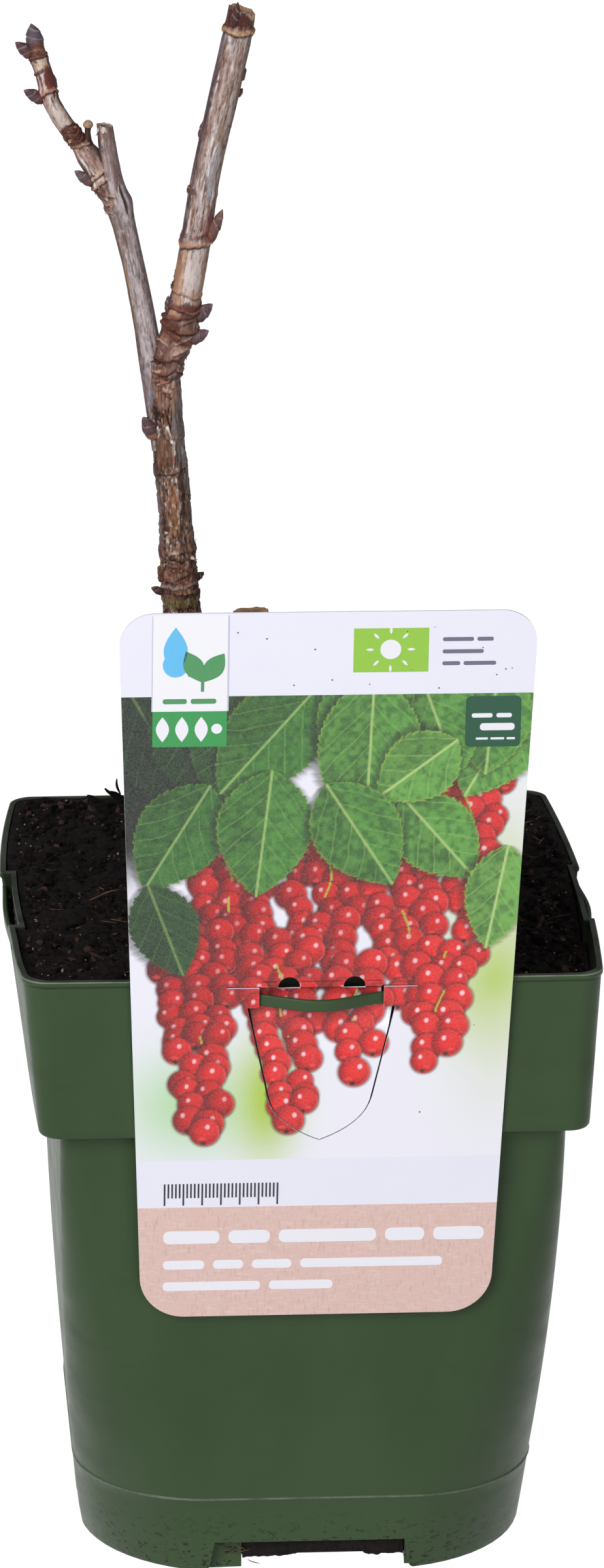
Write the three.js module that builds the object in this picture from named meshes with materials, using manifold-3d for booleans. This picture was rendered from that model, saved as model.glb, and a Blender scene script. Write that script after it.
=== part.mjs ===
/**
 * Redcurrant in a square pot: a cut-back, leafless bush in winter.
 *
 * One leaning stem rises from the peat and forks into a left and a right limb.
 * A short low limb leaves the stem just above the pot, and a thin shoot with
 * buds grows on from the left limb. A printed card hangs on the pot's front
 * rim: its die-cut tongue is hooked behind a strap of the rim.
 *
 * Millimetres, +Z up, front face towards -Y. The model is laid out round the
 * pot's own axis, and the finished group is moved so that its origin lies
 * under the middle of its bounding box.
 */
import * as THREE from "three";
import { mergeVertices } from "three/addons/utils/BufferGeometryUtils.js";
import Module from "manifold-3d";

const wasm = await Module();
wasm.setup();

// Driving dimensions.

const CLEAR = 0.3; // gap between touching pieces
const HAIR = 0.01; // step between two rings at one level
const WELD = 1e-4; // vertices closer than this are one
const END_SHARE = 1e-6; // shares this close to 0 or 1 are an end
const CUT_ROOM = 6; // how far a cut starts outside what it cuts

// Pot: half widths are measured from the axis to the middle of a side.
const POT_HEIGHT = 177.5;
const RIM_HALF = 75;
const COLLAR_HEIGHT = 45.3;
const COLLAR_FOOT_HALF = 73.1;
const BODY_TOP_HALF = 67.6;
const BODY_FOOT_HALF = 60.7;
const BODY_SWELL = 1.76; // how far the body's sides swell at mid height
const TOP_CORNER = 5.5; // corner radius from the collar's foot up
const FOOT_CORNER = 43; // corner radius at the foot, almost a round plan
const CORNER_EASE = 1.27; // how fast the corners open towards the foot
const WALL = 1.3;
const LIP_HEIGHT = 1.7;
const LIP_OUT = 0.35;
const EDGE_ROUND = 0.4;
const MOULD_LINE_HEIGHT = 22.7;
const MOULD_LINE_HALF_WIDTH = 0.7;
const MOULD_LINE_OUT = 0.4;
const FLOOR_LIFT = 1.2; // underside of the floor above the foot
const FLOOR_THICKNESS = 1.6;
const FOOT_WIDTH = 2.8; // flat width of the standing foot
const SQUARE_QUADRANT_STEPS = 12; // points on a quarter of the plan
const SQUARE_STRAIGHT_STEPS = 3; // of those, on each half side
const SIDE_STEPS = 6; // pieces of a prism that follows a side's bow
const BODY_RINGS = { foot: 3, wall: 5 }; // rings below and above the mould line
const FLOOR_ROUND = 2.2; // slope between the floor and the wall inside
const SHELF_SLOPE = 0.5; // slope inside, where the body meets the collar
const COLLAR_FOOT_Z = POT_HEIGHT - COLLAR_HEIGHT;
const COLLAR_MIDDLE_Z = POT_HEIGHT - COLLAR_HEIGHT / 2;
const SIDES = [0, 1, 2, 3]; // quarter turns from the front
const SIDE_NAMES = ["front", "right", "back", "left"];

// The filled pot is a little out of square: the collar's sides are pressed
// out, most on the left, and the foot stands a little to the right.
const RIM_BOW = { left: 5.6, right: 3.1, front: 0.5, back: 0.5 };
const COLLAR_FOOT_BOW = { left: 1.5, right: 1.2, front: 0.05, back: 0.05 };
const FOOT_OFFSET = 1.3;

// Card pockets in the rim: one on each side, the side ones a little forward.
const POCKET_LENGTH = 42;
const POCKET_DEPTH = { front: 4, right: 1.3, back: 3, left: 2.3 }; // the peat presses on them
const POCKET_SHIFT = { front: 0, right: -11, back: 0, left: 9.5 }; // along the side, seen from outside
const POCKET_FLOOR = 8.5; // below the rim
const POCKET_RAMP_FOOT = 14; // below the rim
const POCKET_GROW = { foot: 1.5, floor: 0.6 }; // how a pocket's back thickens downwards
const STRAP_TOP = 3.85; // below the rim
const STRAP_HEIGHT = 3.2;
const STRAP_THICKNESS = 1.3;
const STRAP_END = 0.9; // length sunk in the wall at each end
const STRAP_STEPS = 16;
const STRAP_BOW = { front: 6.4, right: 1.2, back: 0.7, left: 0.4 };

// Drain alcoves at the foot: one in the middle of each side.
const ALCOVE_TOP_HALF = 25.8;
const ALCOVE_FOOT_HALF = 27.3;
const ALCOVE_HEIGHT = 7.3;
const ALCOVE_DEPTH = 3.6;
const ALCOVE_FLARE = 2.2; // rounding where the alcove meets the foot
const ALCOVE_LEAN = 0.3; // how far its ends lean in before the flare
const ALCOVE_ARC_STEPS = 4;
const DRAIN = { from: -17, to: 25.2, top: 6.6, inward: 5.6, overlap: 0.5 };

// Peat: its top is mounded and higher towards the back.
const SOIL_LEVEL = 175;
const SOIL_EDGE_DROP = 2.6;
const SOIL_TILT = 2.3; // rise from the middle to the back wall
const SOIL_ROUGHNESS = 0.8;
const SOIL_LUMPS = [
  { share: 0.6, across: 0.11, deep: 0.13, shift: [1.7, -0.6] },
  { share: 0.4, across: 0.33, deep: 0.29, shift: [0, 2.1] },
];
const SOIL_PATCH_RADIUS = 15; // level patch round the stem
const SOIL_PATCH_END = 33; // radius where the patch has gone over into lumps
const SOIL_EDGE_SHARE = 0.85; // share of the half width where the edge drops
const SOIL_EDGE_MARGIN = 1; // room below the lowest edge
const SOIL_RINGS = 8;
const PLUG_BOTTOM = 1.7; // peat in a drain ends this high above the ground
const PLUG_SET_BACK = 0.1;

// Card.
const CARD_THICKNESS = 0.6;
const CARD_TOP = 110; // above the strap's middle
const CARD_FOOT = -92.6;
const CARD_TOP_HALF = 53.85;
const CARD_FOOT_HALF = 47.15;
const CARD_TOP_CORNER = 9;
const CARD_FOOT_CORNER = 12;
const CARD_CENTRE_X = 0.7;
const CARD_HANG = { y: -77, z: 172 }; // the card's face at the strap
const CARD_LEAN = THREE.MathUtils.degToRad(4.6); // top forward
const CARD_CUT = 0.5; // width of the die cut
const EAR_HALF = 16.4; // from the middle to an ear's inner edge
const EAR_OUT = 25;
const EAR_TOP = 4.1;
const TONGUE_TOP_HALF = 19;
const TONGUE_LEVEL = -2.3;
const TONGUE_SHOULDER = { half: 13.4, level: -28 };
const TONGUE_TIP = -40.2;
const TONGUE_ROUND = { inwards: 1.5, up: 4.6 }; // where the tip's curve turns
// Side view of the tongue, pushed in behind the strap: [height, in front].
const TONGUE_BEND = [
  [5.3, 0], [EAR_TOP, -0.1], [2.7, -2.75], [-2.9, -2.75], [-7.8, -0.5], [-15.3, 0], [-41.2, 0.4],
];
const NECK_TOP = { height: 3, above: 0.4 }; // where the neck joins the card again
const HINGE_HOLE = { at: 8.6, foot: 3.1, radius: 2.9, depth: 1.6 };
const CARD_ARC_STEPS = 8;

// Limbs: points are [x, y, z] from the pot's axis, radii follow the length.
const LIMB_SIDES = 16;
const SHOOT_SIDES = 12;
const BUD_SIDES = 7;
const SPUR_SIDES = 9;

const STEM = {
  points: [
    [-27.2, 4, SOIL_LEVEL + CLEAR], [-29.4, 3.4, 215], [-32.2, 2, 258], [-34.3, 1, 286],
    [-37.2, 0.4, 314], [-38.4, 0, 326],
  ],
  radii: [8.4, 6.3, 5.9, 5.7, 5.3, 4.7, 4.45, 4.2, 4.3, 5.2],
  steps: 28,
  levelFoot: true,
  nodes: [
    { at: 0.5, out: 0.5, wide: 0.02 },
    { at: 0.56, out: 0.45, wide: 0.012 },
    { at: 0.64, out: 0.3, wide: 0.012 },
    { at: 0.8, out: 0.35, wide: 0.014 },
  ],
};
const LEFT_LIMB = {
  points: [
    [-40.8, 0.8, 326 + CLEAR], [-42.4, 1.2, 336], [-44.9, 1.8, 348.6], [-47.8, 2.2, 361.4],
    [-50.3, 2.4, 371], [-51.9, 2.4, 380], [-53, 2.2, 388.6],
  ],
  radii: [3.3, 3.1, 3.05, 3, 2.95, 3.1, 3.4, 2.7, 2.4, 2.1],
  steps: 22,
  nodes: [{ at: 0.66, out: 0.5, wide: 0.04 }],
  endTilt: -0.3,
};
const RIGHT_LIMB = {
  points: [
    [-35.9, -1.8, 326 + CLEAR], [-33.2, -2.6, 335.6], [-31.2, -3, 346], [-29.2, -4, 359],
    [-26.7, -5, 377], [-22.4, -6.5, 398], [-18.9, -7.6, 415], [-17.8, -8, 421.6],
  ],
  radii: [4.1, 4.5, 4.05, 4, 3.95, 3.8, 3.75, 3.85, 3.9, 3.9, 3.6],
  steps: 26,
  nodes: [
    { at: 0.04, out: 0.35, wide: 0.01 },
    { at: 0.1, out: 0.45, wide: 0.012 },
    { at: 0.155, out: 0.45, wide: 0.012 },
    { at: 0.35, out: 0.4, wide: 0.012 },
    { at: 0.48, out: 0.2, wide: 0.01 },
    { at: 0.945, out: 0.35, wide: 0.01 },
  ],
  endTilt: -0.15,
};
const LOW_LIMB = {
  points: [
    [-31, 2.6, 230], [-25, 1.8, 236.5], [-17.8, 0.6, 245.5], [-13.5, 0, 254.8],
  ],
  radii: [4.2, 4.3, 4.3, 4.35, 4.3],
  steps: 14,
  nodes: [{ at: 0.72, out: 0.35, wide: 0.03 }],
  endTilt: 0.5,
};
const TIP_SHOOT = {
  points: [
    [-51.6, 2.4, 369], [-54.4, 2.8, 374.5], [-56.6, 3.2, 379], [-59.4, 4, 383.2], [-62.6, 5, 387.2],
    [-65.2, 5.6, 391], [-67.4, 6.2, 395.4], [-68.7, 7.4, 401], [-70, 8.4, 405], [-70.7, 9, 408],
  ],
  radii: [2.4, 2.8, 2.9, 2.9, 2.5, 2.35, 2.35, 2.3, 2.2, 2.3, 2.3, 2.1],
  steps: 22,
  nodes: [
    { at: 0.1, out: 0.3, wide: 0.03 },
    { at: 0.44, out: 0.25, wide: 0.03 },
    { at: 0.72, out: 0.3, wide: 0.02 },
    { at: 0.93, out: 0.25, wide: 0.02 },
  ],
};

// Buds: at is the share of the limb's length, around is degrees from the
// front towards the right, lean is degrees away from the limb.
const STEM_BUDS = [
  { at: 0.856, around: -70, lean: 30, length: 6.8, radius: 2.2 },
  { at: 0.565, around: -82, lean: 62, length: 4.6, radius: 1.3 },
  { at: 0.585, around: 88, lean: 60, length: 4.2, radius: 1.1 },
  { at: 0.7, around: 165, lean: 30, length: 7, radius: 2 },
  { at: 0.3, around: 60, lean: 30, length: 6, radius: 1.8 },
];
const LEFT_LIMB_BUDS = [{ at: 0.34, around: 170, lean: 28, length: 6.5, radius: 1.8 }];
const RIGHT_LIMB_BUDS = [
  { at: 0.065, around: 74, lean: 42, length: 5.8, radius: 1.8 },
  { at: 0.125, around: 76, lean: 36, length: 5.9, radius: 1.9 },
  { at: 0.13, around: -85, lean: 12, length: 4.2, radius: 0.9 },
  { at: 0.34, around: 55, lean: 14, length: 10.6, radius: 2.1 },
  { at: 0.755, around: 92, lean: 12, length: 5, radius: 1.1 },
  { at: 0.6, around: -150, lean: 24, length: 7, radius: 1.9 },
];
const RIGHT_TOP_BUD = { at: 0.965, around: 8, lean: 2, length: 5.6, radius: 2 };
const LOW_LIMB_BUDS = [{ at: 0.7, around: 120, lean: 34, length: 5.6, radius: 1.7 }];
const SHOOT_BUDS = [
  { at: 0.985, around: 0, lean: 0, length: 6.6, radius: 2.25 },
  { at: 0.955, around: -80, lean: 42, length: 5.6, radius: 1.65 },
  { at: 0.69, around: -82, lean: 46, length: 5.8, radius: 1.7 },
  { at: 0.12, around: -76, lean: 30, length: 5.8, radius: 1.5 },
  { at: 0.72, around: 150, lean: 26, length: 5.6, radius: 1.6 },
];
const SPUR = {
  at: 0.335, around: 80, lean: 38, sink: 1.4, stalk: 4.4, stalkRadius: 0.85, knobRadius: 1.5,
};
const BUD_SINK = 0.55; // share of a bud's radius that is sunk in the bark

// Outlines of a bud and of a spur's stalk and knob: [along, out] as shares.
const BUD_OUTLINE = [[0, 0], [0.02, 0.62], [0.25, 0.98], [0.5, 0.92], [0.78, 0.5], [1, 0]];
const STALK_OUTLINE = [[0, 0], [0, 1.5], [0.7, 1]];
const KNOB_OUTLINE = [[0.35, 0.79], [0.8, 1], [1.25, 0.71], [1.6, 0.23], [1.9, 0]];

// Solids.

/** Turns a closed geometry into a solid, with its faces pointing out. */
function toSolid(geometry) {
  for (const name of Object.keys(geometry.attributes)) {
    if (name !== "position") geometry.deleteAttribute(name);
  }
  const welded = mergeVertices(geometry, WELD);
  const vertProperties = Float32Array.from(welded.attributes.position.array);
  const corners = Array.from(welded.index.array);
  const kept = [];
  for (let i = 0; i < corners.length; i += 3) {
    const [a, b, c] = corners.slice(i, i + 3);
    if (a !== b && b !== c && c !== a) kept.push(a, b, c);
  }
  const triVerts = Uint32Array.from(kept);
  if (signedVolume(vertProperties, triVerts) < 0) triVerts.reverse();
  return new wasm.Manifold(new wasm.Mesh({ numProp: 3, vertProperties, triVerts }));
}

/** Volume enclosed by indexed triangles, negative when they face inwards. */
function signedVolume(positions, indices) {
  const a = new THREE.Vector3();
  const b = new THREE.Vector3();
  const c = new THREE.Vector3();
  let volume = 0;
  for (let i = 0; i < indices.length; i += 3) {
    a.fromArray(positions, 3 * indices[i]);
    b.fromArray(positions, 3 * indices[i + 1]);
    c.fromArray(positions, 3 * indices[i + 2]);
    volume += a.dot(b.cross(c)) / 6;
  }
  return volume;
}

/** One solid out of several that overlap. */
function joined(solids) {
  return solids.reduce((whole, solid) => whole.add(solid));
}

/** Wraps a solid as a named mesh. */
function toMesh(name, solid, material) {
  const { vertProperties, triVerts } = solid.getMesh();
  const geometry = new THREE.BufferGeometry();
  geometry.setAttribute("position", new THREE.BufferAttribute(Float32Array.from(vertProperties), 3));
  geometry.setIndex(new THREE.BufferAttribute(Uint32Array.from(triVerts), 1));
  geometry.computeVertexNormals();
  const mesh = new THREE.Mesh(geometry, material);
  mesh.name = name;
  return mesh;
}

/** Moves every vertex of a geometry by a function of its position. */
function reshape(geometry, move) {
  const position = geometry.attributes.position;
  const point = new THREE.Vector3();
  for (let i = 0; i < position.count; i += 1) {
    point.fromBufferAttribute(position, i);
    move(point);
    position.setXYZ(i, point.x, point.y, point.z);
  }
  return geometry;
}

// The square plan.

/** Nominal half width of the outer wall at a height. */
function wallHalf(z) {
  if (z > COLLAR_FOOT_Z) {
    const rise = Math.min((z - COLLAR_FOOT_Z) / COLLAR_HEIGHT, 1);
    return THREE.MathUtils.lerp(COLLAR_FOOT_HALF, RIM_HALF, rise);
  }
  const t = THREE.MathUtils.clamp(z / COLLAR_FOOT_Z, 0, 1);
  return THREE.MathUtils.lerp(BODY_FOOT_HALF, BODY_TOP_HALF, t) + BODY_SWELL * 4 * t * (1 - t);
}

/** Corner radius of the plan at a height. */
function cornerRadius(z) {
  const t = THREE.MathUtils.clamp(z / COLLAR_FOOT_Z, 0, 1);
  return TOP_CORNER + (FOOT_CORNER - TOP_CORNER) * (1 - t) ** CORNER_EASE;
}

/** Point of a rounded square, for a share u of a turn from the front. */
function squarePoint(u, half, corner) {
  const quadrant = Math.floor(u * 4) % 4;
  const v = u * 4 - Math.floor(u * 4);
  const straightShare = SQUARE_STRAIGHT_STEPS / SQUARE_QUADRANT_STEPS;
  const straight = half - corner;
  let along;
  let out;
  if (v <= straightShare) {
    along = (v / straightShare) * straight;
    out = half;
  } else if (v < 1 - straightShare) {
    const turn = ((v - straightShare) / (1 - 2 * straightShare)) * (Math.PI / 2);
    along = straight + corner * Math.sin(turn);
    out = straight + corner * Math.cos(turn);
  } else {
    along = half;
    out = ((1 - v) / straightShare) * straight;
  }
  const angle = (quadrant * Math.PI) / 2;
  // The front side looks along -Y and the next one along +X.
  const x = along * Math.cos(angle) + out * Math.sin(angle);
  const y = along * Math.sin(angle) - out * Math.cos(angle);
  return [x, y];
}

/** Bow of one side of the collar at a share of its height. */
function sideBow(side, rise) {
  return THREE.MathUtils.lerp(COLLAR_FOOT_BOW[side], RIM_BOW[side], rise);
}

/** Moves a point of the true square plan to where the filled pot has it. */
function settle(point) {
  const { x, y, z } = point;
  point.x += FOOT_OFFSET * (1 - Math.min(z / POT_HEIGHT, 1));
  if (z < COLLAR_FOOT_Z) return;
  const rise = Math.min((z - COLLAR_FOOT_Z) / COLLAR_HEIGHT, 1);
  const alongX = Math.max(0, 1 - (x / RIM_HALF) ** 2);
  const alongY = Math.max(0, 1 - (y / RIM_HALF) ** 2);
  point.x += sideBow(x < 0 ? "left" : "right", rise) * (x / RIM_HALF) * alongY;
  point.y += sideBow(y < 0 ? "front" : "back", rise) * (y / RIM_HALF) * alongX;
}

/** Solid of square plan from a profile of [half width, height] pairs. */
function squareSolid(profile, lift = () => 0) {
  const points = profile.map(([half, z]) => new THREE.Vector2(half, z));
  const geometry = new THREE.LatheGeometry(points, 4 * SQUARE_QUADRANT_STEPS);
  reshape(geometry, (point) => {
    const half = Math.hypot(point.x, point.z);
    const z = point.y;
    const turn = Math.atan2(point.x, point.z) / (2 * Math.PI);
    const step = Math.round((turn < 0 ? turn + 1 : turn) * 4 * SQUARE_QUADRANT_STEPS);
    const u = (step / (4 * SQUARE_QUADRANT_STEPS)) % 1;
    const corner = (cornerRadius(z) * half) / wallHalf(z);
    const [x, y] = squarePoint(u, half, Math.min(corner, half));
    point.set(x, y, z);
    settle(point);
    point.z += lift(point, half);
  });
  return toSolid(geometry);
}

/** A prism across one side, from an [inwards, height] outline, shifted along it. */
function sidePrism(outline, length, quarterTurn, base, shift = 0) {
  const shape = new THREE.Shape(outline.map(([d, z]) => new THREE.Vector2(d, z)));
  const extrusion = { depth: length, steps: SIDE_STEPS, bevelEnabled: false };
  const geometry = new THREE.ExtrudeGeometry(shape, extrusion);
  reshape(geometry, (point) => {
    point.set(point.z - length / 2 + shift, -base + point.x, point.y);
    turnQuarter(point, quarterTurn);
    settle(point);
  });
  return toSolid(geometry);
}

/** Turns a point about the pot's axis by a number of quarter turns. */
function turnQuarter(point, quarterTurn) {
  point.applyAxisAngle(new THREE.Vector3(0, 0, 1), (quarterTurn * Math.PI) / 2);
}

// Pot.

/** Heights where the body's wall gets a ring. */
function bodyRings(from, to, count) {
  return Array.from({ length: count }, (_, i) => THREE.MathUtils.lerp(from, to, i / (count - 1)));
}

/** Profile of the pot's outer face, closed across foot and rim. */
function outerProfile() {
  const foot = BODY_FOOT_HALF;
  const line = MOULD_LINE_HEIGHT;
  const ring = MOULD_LINE_HALF_WIDTH;
  const lower = bodyRings(2 * EDGE_ROUND, line - ring, BODY_RINGS.foot).map((z) => [wallHalf(z), z]);
  const upper = bodyRings(line + ring, COLLAR_FOOT_Z, BODY_RINGS.wall).map((z) => [wallHalf(z), z]);
  const lipFoot = POT_HEIGHT - LIP_HEIGHT;
  return [
    [0, FLOOR_LIFT],
    [foot - FOOT_WIDTH - 2 * EDGE_ROUND, FLOOR_LIFT],
    [foot - FOOT_WIDTH - EDGE_ROUND, 0],
    [foot - EDGE_ROUND, 0],
    ...lower,
    [wallHalf(line) + MOULD_LINE_OUT, line],
    ...upper,
    [COLLAR_FOOT_HALF - EDGE_ROUND, COLLAR_FOOT_Z + HAIR],
    [COLLAR_FOOT_HALF, COLLAR_FOOT_Z + EDGE_ROUND],
    [wallHalf(COLLAR_MIDDLE_Z), COLLAR_MIDDLE_Z],
    [wallHalf(lipFoot), lipFoot],
    [RIM_HALF + LIP_OUT, lipFoot + EDGE_ROUND],
    [RIM_HALF + LIP_OUT, POT_HEIGHT - EDGE_ROUND],
    [RIM_HALF + LIP_OUT - EDGE_ROUND, POT_HEIGHT],
    [0, POT_HEIGHT],
  ];
}

/** Profile of the space inside the wall, up to a height, inset by a gap. */
function innerProfile(gap, top) {
  const floor = FLOOR_LIFT + FLOOR_THICKNESS + gap;
  const inset = WALL + gap;
  const shelf = COLLAR_FOOT_Z + WALL + gap;
  const heights = bodyRings(floor + FLOOR_ROUND, COLLAR_FOOT_Z, BODY_RINGS.wall);
  return [
    [0, floor],
    [wallHalf(floor) - inset - FLOOR_ROUND, floor],
    ...heights.map((z) => [wallHalf(z) - inset, z]),
    [wallHalf(COLLAR_FOOT_Z) - inset, shelf - SHELF_SLOPE],
    [wallHalf(shelf) - inset, shelf],
    [wallHalf(COLLAR_MIDDLE_Z) - inset, COLLAR_MIDDLE_Z],
    [wallHalf(top) - inset, top],
  ];
}

/** Outline of a card pocket, [inwards, height], grown by a margin. */
function pocketOutline(side, margin) {
  const inner = POCKET_DEPTH[side] + margin;
  const above = POT_HEIGHT + CUT_ROOM;
  const foot = POT_HEIGHT - POCKET_RAMP_FOOT - POCKET_GROW.foot * margin;
  const floor = POT_HEIGHT - POCKET_FLOOR - POCKET_GROW.floor * margin;
  return [[-CUT_ROOM, above], [-CUT_ROOM, foot], [0, foot], [inner, floor], [inner, above]];
}

/** The cut that makes a pocket, or its boss inside the wall. */
function pocketSolid(quarterTurn, margin) {
  const outline = pocketOutline(SIDE_NAMES[quarterTurn], margin);
  const shift = POCKET_SHIFT[SIDE_NAMES[quarterTurn]];
  return sidePrism(outline, POCKET_LENGTH + 2 * margin, quarterTurn, RIM_HALF, shift);
}

/** Strap across a pocket's mouth, bowed outwards. */
function strapSolid(quarterTurn) {
  const length = POCKET_LENGTH + 2 * STRAP_END;
  const bow = STRAP_BOW[SIDE_NAMES[quarterTurn]];
  const geometry = new THREE.BoxGeometry(length, STRAP_THICKNESS, STRAP_HEIGHT, STRAP_STEPS, 1, 1);
  const middleZ = POT_HEIGHT - STRAP_TOP - STRAP_HEIGHT / 2;
  reshape(geometry, (point) => {
    const share = THREE.MathUtils.clamp(Math.abs(point.x) / (POCKET_LENGTH / 2), 0, 1);
    const out = bow * Math.cos((share * Math.PI) / 2) ** 2;
    point.x += POCKET_SHIFT[SIDE_NAMES[quarterTurn]];
    point.y += -RIM_HALF + STRAP_THICKNESS / 2 - out;
    point.z += middleZ;
    turnQuarter(point, quarterTurn);
    settle(point);
  });
  return toSolid(geometry);
}

/** Alcove cut: a trapezium with rounded feet, cut into the wall's foot. */
function alcoveSolid(quarterTurn) {
  const shape = new THREE.Shape();
  const flared = ALCOVE_FOOT_HALF + ALCOVE_FLARE;
  const leaned = ALCOVE_FOOT_HALF - ALCOVE_LEAN;
  shape.moveTo(-flared, -CUT_ROOM);
  shape.lineTo(-flared, 0);
  shape.quadraticCurveTo(-ALCOVE_FOOT_HALF, 0, -leaned, ALCOVE_FLARE);
  shape.lineTo(-ALCOVE_TOP_HALF, ALCOVE_HEIGHT);
  shape.lineTo(ALCOVE_TOP_HALF, ALCOVE_HEIGHT);
  shape.lineTo(leaned, ALCOVE_FLARE);
  shape.quadraticCurveTo(ALCOVE_FOOT_HALF, 0, flared, 0);
  shape.lineTo(flared, -CUT_ROOM);
  const geometry = new THREE.ExtrudeGeometry(shape, {
    depth: ALCOVE_DEPTH + CUT_ROOM,
    steps: 1,
    bevelEnabled: false,
    curveSegments: ALCOVE_ARC_STEPS,
  });
  reshape(geometry, (point) => {
    point.set(point.x, -BODY_FOOT_HALF - CUT_ROOM + point.z, point.y);
    turnQuarter(point, quarterTurn);
    settle(point);
  });
  return toSolid(geometry);
}

/** Plain box on one side of the foot, between limits along, in and up. */
function footBox(quarterTurn, [from, to], [inner0, inner1], [low, high]) {
  const geometry = new THREE.BoxGeometry(to - from, inner1 - inner0, high - low);
  reshape(geometry, (point) => {
    point.x += (from + to) / 2;
    point.y += -BODY_FOOT_HALF + (inner0 + inner1) / 2;
    point.z += (low + high) / 2;
    turnQuarter(point, quarterTurn);
    settle(point);
  });
  return toSolid(geometry);
}

/** The thickening inside the wall that backs an alcove. */
function alcoveBoss(quarterTurn, gap) {
  const half = ALCOVE_FOOT_HALF + ALCOVE_FLARE + WALL + gap;
  const reach = ALCOVE_DEPTH + WALL + gap;
  const top = ALCOVE_HEIGHT + WALL + gap;
  return footBox(quarterTurn, [-half, half], [-CUT_ROOM, reach], [0, top]);
}

/** Drain hole through an alcove's back wall and the floor's edge. */
function drainSolid(quarterTurn) {
  const depths = [ALCOVE_DEPTH - DRAIN.overlap, ALCOVE_DEPTH + DRAIN.inward];
  return footBox(quarterTurn, [DRAIN.from, DRAIN.to], depths, [-CUT_ROOM, DRAIN.top]);
}

/** Everything that stands into the pot's inner space. */
function innerBosses(gap) {
  return joined(SIDES.flatMap((side) => [pocketSolid(side, WALL + gap), alcoveBoss(side, gap)]));
}

function buildPot() {
  const above = POT_HEIGHT + CUT_ROOM;
  const mouth = [[wallHalf(above) - WALL, above], [0, above]];
  const outer = squareSolid(outerProfile());
  const inner = squareSolid([...innerProfile(0, POT_HEIGHT), ...mouth]).subtract(innerBosses(0));
  const cuts = SIDES.flatMap((side) => [pocketSolid(side, 0), alcoveSolid(side), drainSolid(side)]);
  return joined([outer.subtract(inner).subtract(joined(cuts)), ...SIDES.map(strapSolid)]);
}

// Peat.

/** Smooth made-up unevenness of the peat's top, between -1 and 1. */
function lumps(x, y) {
  const heights = SOIL_LUMPS.map(({ share, across, deep, shift }) => {
    return share * Math.sin(across * x + shift[0]) * Math.cos(deep * y + shift[1]);
  });
  return heights.reduce((sum, height) => sum + height, 0);
}

/** Height of the peat's top over a point of the plan. */
function soilHeight(x, y, share) {
  const [stemX, stemY] = STEM.points[0];
  const fromStem = Math.hypot(x - stemX, y - stemY);
  const away = THREE.MathUtils.smoothstep(fromStem, SOIL_PATCH_RADIUS, SOIL_PATCH_END);
  const slope = (SOIL_TILT * y) / RIM_HALF;
  const edge = SOIL_EDGE_DROP * THREE.MathUtils.smoothstep(share, SOIL_EDGE_SHARE, 1);
  return SOIL_LEVEL + away * (slope + SOIL_ROUGHNESS * lumps(x, y)) - edge;
}

function buildSoil() {
  const edgeTop = SOIL_LEVEL - SOIL_EDGE_DROP - SOIL_TILT - SOIL_EDGE_MARGIN;
  const wall = innerProfile(CLEAR, edgeTop);
  const [edgeHalf] = wall[wall.length - 1];
  const rings = Array.from({ length: SOIL_RINGS + 1 }, (_, i) => [
    edgeHalf * (1 - i / SOIL_RINGS),
    SOIL_LEVEL,
  ]);
  const lift = (point, half) => {
    if (point.z < SOIL_LEVEL - HAIR) return 0;
    return soilHeight(point.x, point.y, half / edgeHalf) - SOIL_LEVEL;
  };
  const body = squareSolid([...wall, ...rings], lift).subtract(innerBosses(CLEAR));
  const plugs = SIDES.map((side) =>
    footBox(
      side,
      [DRAIN.from + CLEAR, DRAIN.to - CLEAR],
      [ALCOVE_DEPTH + PLUG_SET_BACK, ALCOVE_DEPTH + DRAIN.inward - CLEAR],
      [PLUG_BOTTOM, DRAIN.top - CLEAR],
    ),
  );
  return joined([body, ...plugs]);
}

// Card.

/** Card outline: a tall plate that narrows downwards, with round corners. */
function cardShape() {
  const shape = new THREE.Shape();
  const topCorner = CARD_TOP_CORNER;
  const footCorner = CARD_FOOT_CORNER;
  shape.moveTo(-CARD_FOOT_HALF + footCorner, CARD_FOOT);
  shape.lineTo(CARD_FOOT_HALF - footCorner, CARD_FOOT);
  shape.absarc(CARD_FOOT_HALF - footCorner, CARD_FOOT + footCorner, footCorner, -Math.PI / 2, 0);
  shape.absarc(CARD_TOP_HALF - topCorner, CARD_TOP - topCorner, topCorner, 0, Math.PI / 2);
  shape.absarc(-CARD_TOP_HALF + topCorner, CARD_TOP - topCorner, topCorner, Math.PI / 2, Math.PI);
  shape.absarc(-CARD_FOOT_HALF + footCorner, CARD_FOOT + footCorner, footCorner, Math.PI, 1.5 * Math.PI);
  return shape;
}

/** Outline of the tongue and its neck, grown by a margin. */
function tonguePath(margin) {
  const path = new THREE.Shape();
  const neck = EAR_HALF - CARD_CUT + margin;
  const top = TONGUE_TOP_HALF + margin;
  const { half, level } = TONGUE_SHOULDER;
  const tip = TONGUE_TIP - margin;
  path.moveTo(-neck, EAR_TOP);
  path.lineTo(-neck, TONGUE_LEVEL + margin);
  path.lineTo(-top, TONGUE_LEVEL + margin);
  path.lineTo(-half - margin, level);
  path.quadraticCurveTo(-half + TONGUE_ROUND.inwards, tip + TONGUE_ROUND.up, 0, tip);
  path.quadraticCurveTo(half - TONGUE_ROUND.inwards, tip + TONGUE_ROUND.up, half + margin, level);
  path.lineTo(top, TONGUE_LEVEL + margin);
  path.lineTo(neck, TONGUE_LEVEL + margin);
  path.lineTo(neck, EAR_TOP);
  return path;
}

/** Slab of a flat shape, centred on the card's face. */
function cardSlab(shape, thickness) {
  const geometry = new THREE.ExtrudeGeometry(shape, {
    depth: thickness,
    steps: 1,
    bevelEnabled: false,
    curveSegments: CARD_ARC_STEPS,
  });
  geometry.translate(0, 0, -thickness / 2);
  return toSolid(geometry);
}

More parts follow.
